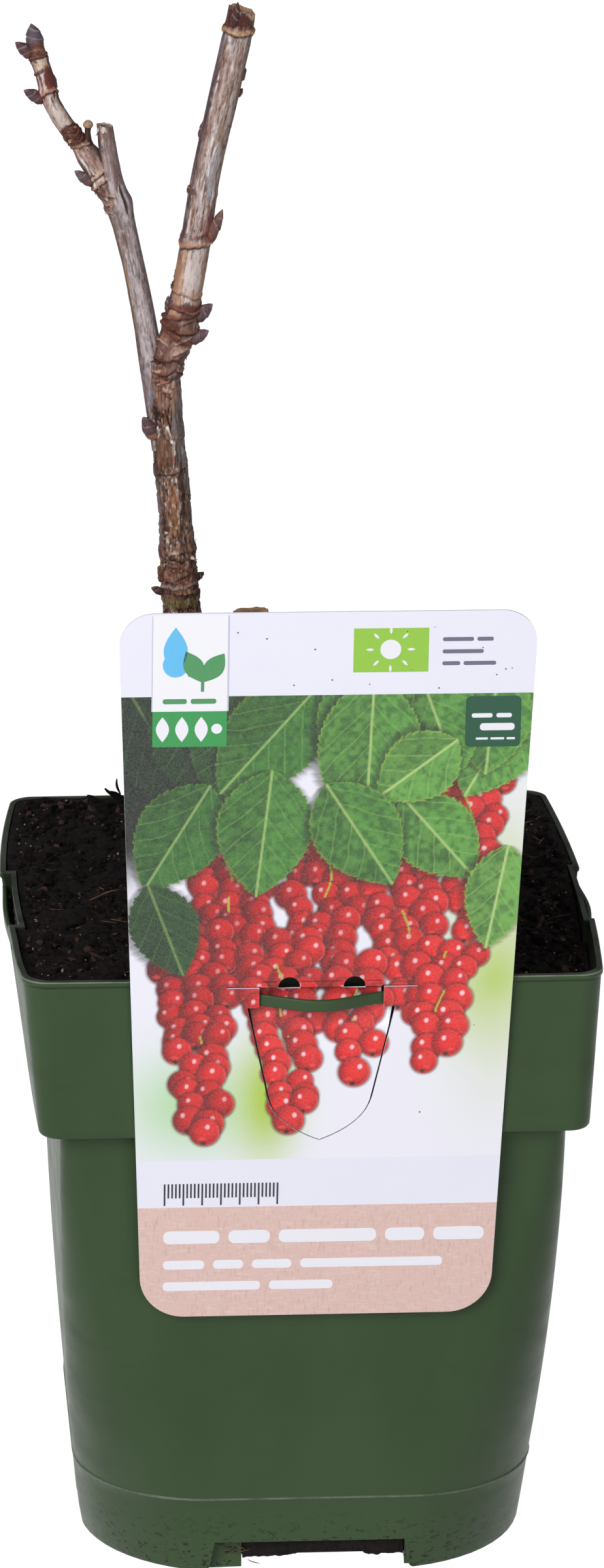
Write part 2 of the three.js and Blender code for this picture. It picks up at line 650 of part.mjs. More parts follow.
/** Bent strip as wide as the tongue's top, before it is trimmed. */
function tongueStrip() {
  const half = CARD_THICKNESS / 2;
  const front = TONGUE_BEND.map(([v, w]) => new THREE.Vector2(w + half, v));
  const back = TONGUE_BEND.map(([v, w]) => new THREE.Vector2(w - half, v)).reverse();
  const width = 2 * TONGUE_TOP_HALF + CUT_ROOM;
  const shape = new THREE.Shape([...front, ...back]);
  const geometry = new THREE.ExtrudeGeometry(shape, { depth: width, bevelEnabled: false });
  reshape(geometry, (point) => point.set(point.z - width / 2, point.y, point.x));
  return toSolid(geometry);
}

/** Half-round hole at the tongue's hinge, on one side of the middle. */
function hingeHole(side) {
  const { at, foot, radius, depth } = HINGE_HOLE;
  const hole = new THREE.Shape();
  hole.moveTo(side * at - foot, EAR_TOP - depth);
  hole.lineTo(side * at + foot, EAR_TOP - depth);
  hole.absarc(side * at, EAR_TOP, radius, 0, Math.PI, false);
  return cardSlab(hole, 2 * CUT_ROOM);
}

/** Level cut above an ear, on one side of the middle. */
function earCut(side) {
  const cut = new THREE.BoxGeometry(EAR_OUT - EAR_HALF + CARD_CUT, CARD_CUT, CUT_ROOM);
  cut.translate((side * (EAR_OUT + EAR_HALF - CARD_CUT)) / 2, EAR_TOP, 0);
  return toSolid(cut);
}

/** The flat card with its tongue cut free and bent in behind the strap. */
function buildCard() {
  const holes = joined([-1, 1].map(hingeHole));
  const window = cardSlab(tonguePath(CARD_CUT), CUT_ROOM);
  const sheet = cardSlab(cardShape(), CARD_THICKNESS)
    .subtract(joined([window, holes, ...[-1, 1].map(earCut)]));
  const neckTop = new THREE.BoxGeometry(2 * (EAR_HALF - CARD_CUT), NECK_TOP.height, 2 * CUT_ROOM);
  neckTop.translate(0, EAR_TOP + NECK_TOP.above, 0);
  const trim = cardSlab(tonguePath(0), 2 * CUT_ROOM).add(toSolid(neckTop));
  const tongue = tongueStrip().intersect(trim).subtract(holes);
  return sheet.add(tongue);
}

/** Hangs the flat card, drawn in its own plane, on the pot's front. */
function hangCard(mesh) {
  mesh.geometry.rotateX(Math.PI / 2 + CARD_LEAN);
  mesh.geometry.translate(CARD_CENTRE_X, CARD_HANG.y, CARD_HANG.z);
  return mesh;
}

// Limbs.

/** Value of an evenly spaced list of sizes at a share of its length. */
function sample(list, share) {
  const place = THREE.MathUtils.clamp(share, 0, 1) * (list.length - 1);
  const index = Math.min(Math.floor(place), list.length - 2);
  return THREE.MathUtils.lerp(list[index], list[index + 1], place - index);
}

/** A limb's centre line, thickness and local directions. */
class Limb {
  constructor({ points, radii, nodes, steps, endTilt = 0, levelFoot = false }, sides) {
    const corners = points.map((point) => new THREE.Vector3(...point));
    this.curve = new THREE.CatmullRomCurve3(corners, false, "catmullrom", 0.5);
    this.length = this.curve.getLength();
    this.radii = radii;
    this.nodes = nodes;
    this.steps = steps;
    this.endTilt = endTilt;
    this.levelFoot = levelFoot;
    this.sides = sides;
  }

  /** Radius at a share of the length, with the rings of its nodes. */
  radius(share) {
    const rings = this.nodes.map(({ at, out, wide }) => out * Math.exp(-(((share - at) / wide) ** 2)));
    return sample(this.radii, share) + rings.reduce((sum, ring) => sum + ring, 0);
  }

  /** Origin, tangent and the directions to the right and to the front. */
  frame(share) {
    const origin = this.curve.getPointAt(THREE.MathUtils.clamp(share, 0, 1));
    const tangent = this.curve.getTangentAt(THREE.MathUtils.clamp(share, 0, 1));
    const right = new THREE.Vector3(0, 1, 0).cross(tangent).normalize();
    const front = right.clone().cross(tangent).normalize();
    return { origin, tangent, right, front };
  }

  /** Direction from the centre line, in degrees from front to right. */
  outward(share, around) {
    const { right, front } = this.frame(share);
    const angle = THREE.MathUtils.degToRad(around);
    return right.multiplyScalar(Math.sin(angle)).addScaledVector(front, Math.cos(angle));
  }

  /** Direction that leans away from the limb, in degrees from its tangent. */
  leaning(share, around, lean) {
    const { tangent } = this.frame(share);
    const tilt = THREE.MathUtils.degToRad(lean);
    const outward = this.outward(share, around);
    return tangent.multiplyScalar(Math.cos(tilt)).addScaledVector(outward, Math.sin(tilt));
  }

  /** Point on the bark, sunk below it by a depth. */
  seat(share, around, sink) {
    const { origin } = this.frame(share);
    return origin.addScaledVector(this.outward(share, around), this.radius(share) - sink);
  }

  /** Solid of the limb, grown all round by a gap. */
  solid(gap = 0) {
    const profile = [new THREE.Vector2(0, 0)];
    for (let i = 0; i <= this.steps; i += 1) {
      const share = i / this.steps;
      profile.push(new THREE.Vector2(this.radius(share) + gap, share));
    }
    profile.push(new THREE.Vector2(0, 1));
    const geometry = new THREE.LatheGeometry(profile, this.sides);
    reshape(geometry, (point) => {
      const { x: across, y: share, z: forward } = point;
      const { origin, tangent, right, front } = this.frame(share);
      const atFoot = share < END_SHARE;
      const slant = share > 1 - END_SHARE ? this.endTilt * across + gap : 0;
      point.copy(origin)
        .addScaledVector(right, across)
        .addScaledVector(front, forward)
        .addScaledVector(tangent, atFoot ? -gap : slant);
      if (this.levelFoot && atFoot) point.z = origin.z - gap;
    });
    return toSolid(geometry);
  }
}

/** Stands a lathe outline on a point, turned to look along an axis. */
function turnedSolid(outline, sides, base, axis) {
  const profile = outline.map(([along, out]) => new THREE.Vector2(out, along));
  const geometry = new THREE.LatheGeometry(profile, sides);
  const up = new THREE.Vector3(0, 1, 0);
  geometry.applyQuaternion(new THREE.Quaternion().setFromUnitVectors(up, axis));
  geometry.translate(base.x, base.y, base.z);
  return toSolid(geometry);
}

/** Pointed bud that grows out of a limb, or stands on its end. */
function budSolid(limb, { at, around, lean, length, radius }) {
  const sink = lean === 0 ? limb.radius(at) : BUD_SINK * radius;
  const outline = BUD_OUTLINE.map(([along, out]) => [along * length, out * radius]);
  return turnedSolid(outline, BUD_SIDES, limb.seat(at, around, sink), limb.leaning(at, around, lean));
}

/** Short cut spur: a thin stalk that ends in a round knob. */
function spurSolid(limb, { at, around, lean, sink, stalk, stalkRadius, knobRadius }) {
  const outline = [
    ...STALK_OUTLINE.map(([along, out]) => [along * stalk, out * stalkRadius]),
    ...KNOB_OUTLINE.map(([along, out]) => [stalk + along * knobRadius, out * knobRadius]),
  ];
  return turnedSolid(outline, SPUR_SIDES, limb.seat(at, around, sink), limb.leaning(at, around, lean));
}

/** A limb with its buds and spurs, cut clear of the solids that it meets. */
function buildLimb(limb, buds, neighbours = [], spurs = []) {
  const grown = buds.map((bud) => budSolid(limb, bud));
  const whole = joined([limb.solid(), ...grown, ...spurs]);
  return neighbours.reduce((left, other) => left.subtract(other), whole);
}

// Assembly.

const finish = (color, roughness) => new THREE.MeshStandardMaterial({ color, roughness, metalness: 0 });

const MATERIALS = {
  pot: finish(0x42543a, 0.45),
  soil: finish(0x1f1814, 0.95),
  card: finish(0xeeeef6, 0.35),
  bark: finish(0x7c6858, 0.8),
  shoot: finish(0xa08878, 0.75),
};

const stem = new Limb(STEM, LIMB_SIDES);
const leftLimb = new Limb(LEFT_LIMB, LIMB_SIDES);
const rightLimb = new Limb(RIGHT_LIMB, LIMB_SIDES);
const lowLimb = new Limb(LOW_LIMB, LIMB_SIDES);
const tipShoot = new Limb(TIP_SHOOT, SHOOT_SIDES);

const stemGrown = stem.solid(CLEAR);
const leftGrown = leftLimb.solid(CLEAR);

const plant = new THREE.Group();
plant.add(toMesh("pot", buildPot(), MATERIALS.pot));
plant.add(toMesh("soil", buildSoil(), MATERIALS.soil));
plant.add(hangCard(toMesh("label_card", buildCard(), MATERIALS.card)));
plant.add(toMesh("stem", buildLimb(stem, STEM_BUDS), MATERIALS.bark));
plant.add(toMesh("left_limb", buildLimb(leftLimb, LEFT_LIMB_BUDS, [stemGrown]), MATERIALS.bark));
plant.add(
  toMesh(
    "right_limb",
    buildLimb(rightLimb, [...RIGHT_LIMB_BUDS, RIGHT_TOP_BUD], [stemGrown, leftGrown]),
    MATERIALS.bark,
  ),
);
plant.add(toMesh("low_limb", buildLimb(lowLimb, LOW_LIMB_BUDS, [stemGrown]), MATERIALS.bark));
plant.add(
  toMesh(
    "tip_shoot",
    buildLimb(tipShoot, SHOOT_BUDS, [leftGrown], [spurSolid(tipShoot, SPUR)]),
    MATERIALS.shoot,
  ),
);

const bounds = new THREE.Box3().setFromObject(plant);
const middle = bounds.getCenter(new THREE.Vector3());
plant.position.set(-middle.x, -middle.y, -bounds.min.z);

export default plant;
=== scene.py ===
"""Looks of a potted redcurrant: a cut-back, leafless bush with its plant card.

The pot, the peat, the bark and the card's print are worked out here as whole
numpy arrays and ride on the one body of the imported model. Lengths are in
millimetres from the pot's own axis, and every piece is moved to the model's
frame, in metres, when it is put in.
"""

from __future__ import annotations

import logging
import math
from collections.abc import Sequence
from dataclasses import dataclass, field
from enum import Enum

import bpy
import numpy as np
from mathutils import Matrix, Vector


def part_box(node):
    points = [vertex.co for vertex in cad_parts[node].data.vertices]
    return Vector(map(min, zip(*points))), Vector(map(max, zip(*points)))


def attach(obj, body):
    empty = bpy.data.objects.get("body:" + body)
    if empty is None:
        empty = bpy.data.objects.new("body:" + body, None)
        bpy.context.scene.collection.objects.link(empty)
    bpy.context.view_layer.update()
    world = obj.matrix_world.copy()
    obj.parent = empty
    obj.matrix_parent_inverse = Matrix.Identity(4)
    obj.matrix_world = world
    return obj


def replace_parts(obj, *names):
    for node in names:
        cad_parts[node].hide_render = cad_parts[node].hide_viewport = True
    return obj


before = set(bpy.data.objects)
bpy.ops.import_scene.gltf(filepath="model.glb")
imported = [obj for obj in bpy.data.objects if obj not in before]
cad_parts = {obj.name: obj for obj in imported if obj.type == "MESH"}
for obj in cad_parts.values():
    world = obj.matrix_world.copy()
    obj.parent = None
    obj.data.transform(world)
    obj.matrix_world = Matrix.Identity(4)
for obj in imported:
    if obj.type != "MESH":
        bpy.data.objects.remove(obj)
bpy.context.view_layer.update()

LOG = logging.getLogger("redcurrant")
Array = np.ndarray
Values = Array | float
Numbers = Sequence[float]
Colour = tuple[float, float, float]
Pair = tuple[float, float]
Socket = bpy.types.NodeSocket
Material = bpy.types.Material
Thing = bpy.types.Object
Inputs = dict[str | int, object]
LEVEL = (0.0, 0.0, 0.0)
MM = 0.001
TURN = 2 * math.pi
BODY = "root"

# The photograph's frame, and the camera that was fitted to it.
PHOTO_HEIGHT = 2398
PHOTO_FOCAL_PX = 10787.0
SENSOR_MM = 36.0
CAMERA_AZIMUTH = -4.474
CAMERA_HEIGHT_ANGLE = 18.8
CAMERA_ROLL = 0.685
CAMERA_DISTANCE = 1913.0
CAMERA_AIM = (0.881, 0.0, 205.786)

# Sizes shared by the pot, the peat and the card.
POT_HEIGHT = 177.5
MOULD_LINE_Z = 22.7
RIM_HALF = 75.0
COLLAR_HEIGHT = 45.3
COLLAR_FOOT_HALF = 73.1
COLLAR_FOOT_Z = POT_HEIGHT - COLLAR_HEIGHT
BODY_TOP_HALF = 67.6
BODY_FOOT_HALF = 60.7
BODY_SWELL = 1.76
TOP_CORNER = 5.5
FOOT_CORNER = 43.0
CORNER_EASE = 1.27
WALL = 1.3
FLOOR_LIFT = 1.2
FLOOR_THICKNESS = 1.6
FOOT_OFFSET = 0.6
FOOT_BAND = 24.0
FOOT_SPREAD = 0.004
FOOT_CORNER_LESS = 2.0
CORNER_OUT = 1.8
REACH = 6.0
SOIL_LEVEL = 175.0
CARD_CENTRE_X = 0.7


class Side(Enum):
    """A side of the pot, as quarter turns from the front."""

    FRONT = 0
    RIGHT = 1
    BACK = 2
    LEFT = 3


RIM_BOW = {Side.LEFT: 5.6, Side.RIGHT: 3.1, Side.FRONT: 0.5, Side.BACK: 0.5}
COLLAR_FOOT_BOW = {Side.LEFT: 1.5, Side.RIGHT: 1.2, Side.FRONT: 0.05, Side.BACK: 0.05}
POCKET_DEPTH = {Side.FRONT: 4.0, Side.RIGHT: 1.3, Side.BACK: 3.0, Side.LEFT: 2.3}
POCKET_SHIFT = {Side.FRONT: 0.0, Side.RIGHT: -11.0, Side.BACK: 0.0, Side.LEFT: 9.5}
STRAP_BOW = {Side.FRONT: 6.4, Side.RIGHT: 1.2, Side.BACK: 0.7, Side.LEFT: 0.4}


# Small array helpers.


def lerp(low: Values, high: Values, share: Values) -> Values:
    """Value between low and high at a share of the way."""
    return low + (high - low) * share


def ease(values: Values, low: float, high: float) -> Array:
    """Smooth step from 0 at low to 1 at high: t squared times (3 - 2t)."""
    t = np.clip((np.asarray(values, float) - low) / (high - low), 0.0, 1.0)
    return t * t * (3 - 2 * t)


def unit(vectors: Array) -> Array:
    """Vectors of length 1 along the last axis."""
    return vectors / (np.linalg.norm(vectors, axis=-1, keepdims=True) + 1e-12)


def rgb(red: float, green: float, blue: float) -> Colour:
    """Linear colour from display values between 0 and 255.

    Args:
        red: Share of red.
        green: Share of green.
        blue: Share of blue.

    Returns:
        The linear colour.
    """
    share = np.array([red, green, blue]) / 255.0
    out = np.where(share <= 0.04045, share / 12.92, ((share + 0.055) / 1.055) ** 2.4)
    return tuple(float(v) for v in out)


def mixed(base: Array, colour: Numbers, amount: Values) -> Array:
    """Colours moved towards one colour by an amount between 0 and 1.

    Args:
        base: Colours, one row each.
        colour: The colour to move towards.
        amount: How far, one value a row or one for all.

    Returns:
        The mixed colours.
    """
    share = np.clip(np.asarray(amount, float), 0.0, 1.0)
    if share.ndim:
        share = share[..., None]
    return base + (np.asarray(colour, float) - base) * share


def painted(base: Array, *layers: tuple[Numbers, Values]) -> Array:
    """Colours under one coat of paint after another.

    Args:
        base: Colours, one row each.
        *layers: Colour and strength, from 0 to 1, of each coat.

    Returns:
        The colours after the last coat.
    """
    for colour, amount in layers:
        base = mixed(base, colour, amount)
    return base


def evenly(colour: Numbers, shape: Sequence[int]) -> Array:
    """One colour all over an array of a shape."""
    return np.broadcast_to(np.asarray(colour, float), (*shape, 3)).copy()


def scattered(cells: Array, seed: int) -> Array:
    """One repeatable number between 0 and 1 for each whole-number cell.

    The three cell numbers and the seed are multiplied by large odd numbers,
    added, and stirred with shifts, in 64-bit whole numbers.

    Args:
        cells: Three whole numbers a cell.
        seed: Another seed gives other numbers.

    Returns:
        One number a cell.
    """
    c = cells.astype(np.int64)
    h = c[..., 0] * 374761393 + c[..., 1] * 668265263 + c[..., 2] * 2147483629 + seed * 1274126177
    h = ((h ^ (h >> 13)) * 1274126177) & 0xFFFFFFFF
    h = ((h ^ (h >> 16)) * 2246822519) & 0xFFFFFFFF
    return ((h ^ (h >> 15)) & 0xFFFFFF) / float(0xFFFFFF)


def xyz(x: Values, y: Values, z: Values) -> Array:
    """Points from their three numbers, each an array or one value for all."""
    return np.stack(np.broadcast_arrays(x, y, z), axis=-1)


def bell(values: Values, middle: Values, width: float) -> Array:
    """Bell of height 1: e to the minus square of the distance over the width."""
    return np.exp(-(((values - middle) / width) ** 2))


def about(x: Values, y: Values, angle: float) -> tuple[Values, Values]:
    """A place in a plane, turned by an angle in radians."""
    return x * math.cos(angle) - y * math.sin(angle), x * math.sin(angle) + y * math.cos(angle)


def full_turn(count: int) -> Array:
    """Angles of even steps round a full turn."""
    return np.arange(count) * TURN / count


def grain(points: Array, seed: int, octaves: int = 3, gain: float = 0.5) -> Array:
    """Soft made-up noise between 0 and 1 at points in space.

    Each octave blends the scattered numbers at the eight corners of a unit
    cell with smooth weights. The next octave is twice as fine and weaker.

    Args:
        points: Places, three numbers each.
        seed: Which noise.
        octaves: How many layers are added.
        gain: Strength of each layer against the one before.

    Returns:
        One value for each point.
    """
    total = np.zeros(points.shape[:-1])
    weight, spread = 1.0, 0.0
    for octave in range(octaves):
        scaled = points * 2.0**octave + 17.3 * octave
        cell = np.floor(scaled)
        t = scaled - cell
        t = t * t * (3 - 2 * t)
        value = np.zeros(points.shape[:-1])
        for corner in range(8):
            step = np.array([corner & 1, corner >> 1 & 1, corner >> 2 & 1])
            share = np.prod(np.where(step, t, 1 - t), axis=-1)
            value += share * scattered(cell + step, seed + octave)
        total += weight * value
        spread += weight
        weight *= gain
    return total / spread


def grid_faces(rows: int, columns: int, wrap: bool = False) -> Array:
    """Four-cornered faces between the points of a grid, row by row.

    Args:
        rows: Rows of points.
        columns: Points in a row.
        wrap: Whether each row is closed to a ring.

    Returns:
        One row a face.
    """
    row = np.arange(rows - 1)[:, None]
    column = np.arange(columns if wrap else columns - 1)[None, :]
    after = (column + 1) % columns
    corners = [row * columns + column, row * columns + after]
    corners += [(row + 1) * columns + after, (row + 1) * columns + column]
    return np.stack(corners, axis=-1).reshape(-1, 4)


def fan(edge: Array, middle: int) -> Array:
    """Three-cornered faces from a closed edge to one middle point."""
    return np.stack([np.roll(edge, -1), edge, np.full(len(edge), middle)], axis=-1)


@dataclass
class Surface:
    """Points with faces between them, and colours at the points."""

    points: Array
    faces: list[Array]
    colours: Array | None = None

    def volume(self) -> float:
        """Space inside: the sum of the signed cones from the origin.

        Returns:
            The volume, below 0 if the faces point in.
        """
        total = 0.0
        middle = self.points.mean(0)
        p = self.points - middle
        for group in self.faces:
            for k in range(1, group.shape[1] - 1):
                a, b, c = p[group[:, 0]], p[group[:, k]], p[group[:, k + 1]]
                total += float(np.einsum("ij,ij->", a, np.cross(b, c))) / 6
        return total

    def outward(self) -> Surface:
        """The same surface with its faces pointing out.

        Returns:
            This surface.
        """
        if self.volume() < 0:
            self.faces = [group[:, ::-1] for group in self.faces]
        return self


def joined(surfaces: Sequence[Surface]) -> Surface:
    """One surface out of several, with their colours if all have them.

    Args:
        surfaces: The surfaces.

    Returns:
        The one surface.
    """
    faces, start = [], 0
    for surface in surfaces:
        faces += [group + start for group in surface.faces]
        start += len(surface.points)
    sizes = sorted({group.shape[1] for group in faces})
    by_size = [np.concatenate([group for group in faces if group.shape[1] == size]) for size in sizes]
    colours = [surface.colours for surface in surfaces]
    tints = None if any(c is None for c in colours) else np.concatenate(colours)
    return Surface(np.concatenate([surface.points for surface in surfaces]), by_size, tints)


def sleeve(rings: Array, colours: Array | None = None) -> Surface:
    """Closed skin over rings of points, with a fan to the middle at each end.

    Args:
        rings: Points by ring and by place on the ring.
        colours: Colours by ring and place, or none.

    Returns:
        The closed surface, facing outwards.
    """
    rows, columns = rings.shape[:2]
    count = rows * columns
    foot = np.arange(columns)
    ends = [fan(foot, count), fan(foot + count - columns, count + 1)[:, [1, 0, 2]]]
    faces = [np.concatenate(ends), grid_faces(rows, columns, wrap=True)]
    both = [
        None if values is None else np.concatenate([values.reshape(-1, 3), values[[0, -1]].mean(1)])
        for values in (rings, colours)
    ]
    return Surface(both[0], faces, both[1]).outward()


def copies(shape: Array, faces: Array, places: Array, turns: Array, sizes: Array) -> Surface:
    """Many copies of one small shape, each turned, sized and placed.

    Args:
        shape: The shape's points.
        faces: Its faces, all with as many corners.
        places: Where each copy goes.
        turns: One three by three turn a copy.
        sizes: Three sizes a copy.

    Returns:
        One surface with all the copies, each a little dented in its own way.
    """
    rng = np.random.default_rng(len(places))
    dents = rng.uniform(0.5, 1.35, (len(places), len(shape), 1))
    scaled = shape[None] * dents * sizes[:, None, :]
    points = np.einsum("nij,nkj->nki", turns, scaled) + places[:, None, :]
    shifts = (np.arange(len(places)) * len(shape))[:, None, None]
    return Surface(points.reshape(-1, 3), [(faces[None] + shifts).reshape(-1, faces.shape[1])])


def random_turns(rng: np.random.Generator, count: int, tip: float = 1.0) -> Array:
    """Random turns from four-part numbers of length 1; a small tip keeps them flat.

    Args:
        rng: Source of the random numbers.
        count: How many.
        tip: 1 for turns all ways, near 0 for flat.

    Returns:
        One three by three turn a row.
    """
    w, x, y, z = unit(rng.normal(size=(count, 4)) * [1, tip, tip, 1]).T
    rows = [
        [1 - 2 * (y * y + z * z), 2 * (x * y - w * z), 2 * (x * z + w * y)],
        [2 * (x * y + w * z), 1 - 2 * (x * x + z * z), 2 * (y * z - w * x)],
        [2 * (x * z - w * y), 2 * (y * z + w * x), 1 - 2 * (x * x + y * y)],
    ]
    return np.moveaxis(np.array(rows), 2, 0)


def pebble() -> tuple[Array, Array]:
    """Points and faces of a twenty-sided pebble of radius 1.

    Returns:
        Twelve points, and twenty three-cornered faces.
    """
    gold = (1 + math.sqrt(5)) / 2
    signs = [(a, b) for a in (-1, 1) for b in (-1, 1)]
    points = [(0, a, b * gold) for a, b in signs]
    points += [(a, b * gold, 0) for a, b in signs]
    points += [(a * gold, 0, b) for a, b in signs]
    cloud = unit(np.array(points, float))
    gaps = np.linalg.norm(cloud[:, None] - cloud[None], axis=-1)
    near = (gaps > 0.1) & (gaps < 1.2)
    faces = [
        (i, j, k)
        for i in range(12)
        for j in range(i + 1, 12)
        for k in range(j + 1, 12)
        if near[i, j] and near[j, k] and near[i, k]
    ]
    corners = np.array(faces)
    a, b, c = cloud[corners[:, 0]], cloud[corners[:, 1]], cloud[corners[:, 2]]
    inward = np.einsum("ij,ij->i", np.cross(b - a, c - a), a) < 0
    corners[inward] = corners[inward][:, ::-1]
    return cloud, corners


def strands(starts: Array, ways: Array, lengths: Array, radii: Array, curl: float, seed: int) -> Surface:
    """Thin wavering strands, each a three-sided closed tube.

    Each strand's middle line goes along its way and curls aside by two sine
    waves of its own; the radius fades to nothing at both ends.

    Args:
        starts: First points.
        ways: Directions of length 1.
        lengths: Lengths.
        radii: Radii in the middle.
        curl: Sideways reach as a share of the length.
        seed: Which random waves.

    Returns:
        One surface with all the strands.
    """
    rng = np.random.default_rng(seed)
    count = len(starts)
    along = np.linspace(0, 1, 9)
    side = unit(np.cross(ways, rng.normal(size=(count, 3))))
    other = np.cross(ways, side)
    phase = rng.uniform(0, TURN, (count, 4, 1))
    bend = curl * lengths[:, None]
    first = bend * (np.sin(2.6 * along + phase[:, 0]) - np.sin(phase[:, 0]))
    second = bend * 0.6 * (np.sin(4.7 * along + phase[:, 1]) - np.sin(phase[:, 1]))
    line = starts[:, None] + ways[:, None] * (lengths[:, None] * along)[..., None]
    line = line + side[:, None] * first[..., None] + other[:, None] * second[..., None]
    thick = radii[:, None] * (0.25 + 0.75 * np.sin(math.pi * np.clip(along, 0.02, 0.98)) ** 0.5)
    angle = full_turn(3)[:, None]
    ring = side[:, None, None] * np.cos(angle) + other[:, None, None] * np.sin(angle)
    return joined([sleeve(one) for one in line[:, :, None] + ring * thick[..., None, None]])


# Finishes.


class Recipe:
    """A material under construction: its nodes, and links between them."""

    def __init__(self, name: str) -> None:
        """Starts the material.

        Args:
            name: Its name.
        """
        self.material = bpy.data.materials.new(name)
        self.material.use_nodes = True
        self.tree = self.material.node_tree
        self.shader = self.tree.nodes["Principled BSDF"]

    def add(self, kind: str, inputs: Inputs | None = None, **settings: object) -> bpy.types.Node:
        """Adds a node, with its settings and its inputs.

        Args:
            kind: Blender's name of the node's type, without its first word.
            inputs: Values or sockets by input name or number.
            **settings: The node's own settings.

        Returns:
            The node.
        """
        node = self.tree.nodes.new("ShaderNode" + kind)
        for name, value in settings.items():
            setattr(node, name, value)
        for name, value in (inputs or {}).items():
            self.feed(node.inputs[name], value)
        return node

    def feed(self, socket: Socket, value: object) -> None:
        """Links a socket to an output, or sets its value.

        Args:
            socket: The socket.
            value: A socket, a number or a colour.
        """
        if isinstance(value, Socket):
            self.tree.links.new(value, socket)
        elif isinstance(value, (tuple, list)) and socket.type == "RGBA" and len(value) == 3:
            socket.default_value = (*value, 1.0)
        else:
            socket.default_value = value

    def place(self, scale: Numbers = (1, 1, 1), turn: Numbers = LEVEL) -> Socket:
        """Object coordinates in millimetres, stretched and turned by degrees.

        Args:
            scale: Stretch a direction.
            turn: Degrees about each axis.

        Returns:
            The place.
        """
        inputs = {
            "Vector": self.add("TexCoord").outputs["Object"],
            "Scale": tuple(s / MM for s in scale),
            "Rotation": tuple(math.radians(a) for a in turn),
        }
        return self.add("Mapping", inputs).outputs["Vector"]

    def noise(
        self, scale: float | Numbers, detail: float = 4, rough: float = 0.5, turn: Numbers = LEVEL
    ) -> Socket:
        """Noise between 0 and 1.

        Args:
            scale: Its cells a millimetre, one number or one a direction.
            detail: How many finer layers it has.
            rough: Strength of each layer against the one before.
            turn: Degrees by which its directions are turned.

        Returns:
            The noise.
        """
        place = self.place((scale,) * 3 if isinstance(scale, float) else scale, turn)
        inputs = {"Vector": place, "Scale": 1.0, "Detail": detail, "Roughness": rough}
        return self.add("TexNoise", inputs).outputs["Fac"]

    def spread(self, value: Socket, low: float, high: float, to_low: float, to_high: float) -> Socket:
        """A value's range from low to high, moved to another range."""
        inputs = {"Value": value, "From Min": low, "From Max": high, "To Min": to_low, "To Max": to_high}
        return self.add("MapRange", inputs).outputs["Result"]

    def times(self, first: Socket, second: Socket) -> Socket:
        """Two values multiplied."""
        return self.add("Math", {0: first, 1: second}, operation="MULTIPLY").outputs[0]

    def tint(self, output: str = "Color") -> Socket:
        """The colour that is set on the mesh, or its first number as Fac."""
        return self.add("Attribute", attribute_name="tint").outputs[output]

    def blend(self, factor: object, first: object, second: object, kind: str = "MIX") -> Socket:
        """Two colours blended by a factor.

        Args:
            factor: Share of the second colour.
            first: The colour below.
            second: The colour above.
            kind: How the two are blended.

        Returns:
            The blended colour.
        """
        node = self.add("Mix", {"Factor": factor}, data_type="RGBA", blend_type=kind)
        self.feed(node.inputs[6], first)
        self.feed(node.inputs[7], second)
        return node.outputs[2]

    def coat(
        self, base: object, value: Socket, low: float, high: float, most: float, colour: Colour,
        kind: str = "MIX",
    ) -> Socket:
        """A colour laid over another where a value is high.

        Args:
            base: The colour below.
            value: What decides on the place.
            low: Where the coat begins.
            high: Where it is full.
            most: How strong it is there.
            colour: The coat's colour.
            kind: How the two are blended.

        Returns:
            The colour with its coat.
        """
        return self.blend(self.spread(value, low, high, 0.0, most), base, colour, kind)

    def bump(self, height: Socket, depth: float, below: Socket | None = None) -> Socket:
        """Bump of a height between 0 and 1 that is depth millimetres deep.

        Args:
            height: The height.
            depth: How deep it is, in millimetres.
            below: Another bump under it.

        Returns:
            The bump.
        """
        inputs = {"Height": height, "Distance": depth * MM, "Strength": 1.0}
        if below is not None:
            inputs["Normal"] = below
        return self.add("Bump", inputs).outputs["Normal"]

    def finish(self, colour: object, roughness: object, normal: Socket | None, gloss: float) -> Material:
        """Feeds the shader and gives the material.

        Args:
            colour: Base colour or its socket.
            roughness: Roughness or its socket.
            normal: Bump socket, or none.
            gloss: Level of the mirror-like shine.

        Returns:
            The finished material.
        """
        inputs = self.shader.inputs
        self.feed(inputs["Base Color"], colour)
        self.feed(inputs["Roughness"], roughness)
        if normal is not None:
            self.feed(inputs["Normal"], normal)
        inputs["Specular IOR Level"].default_value = gloss
        return self.material


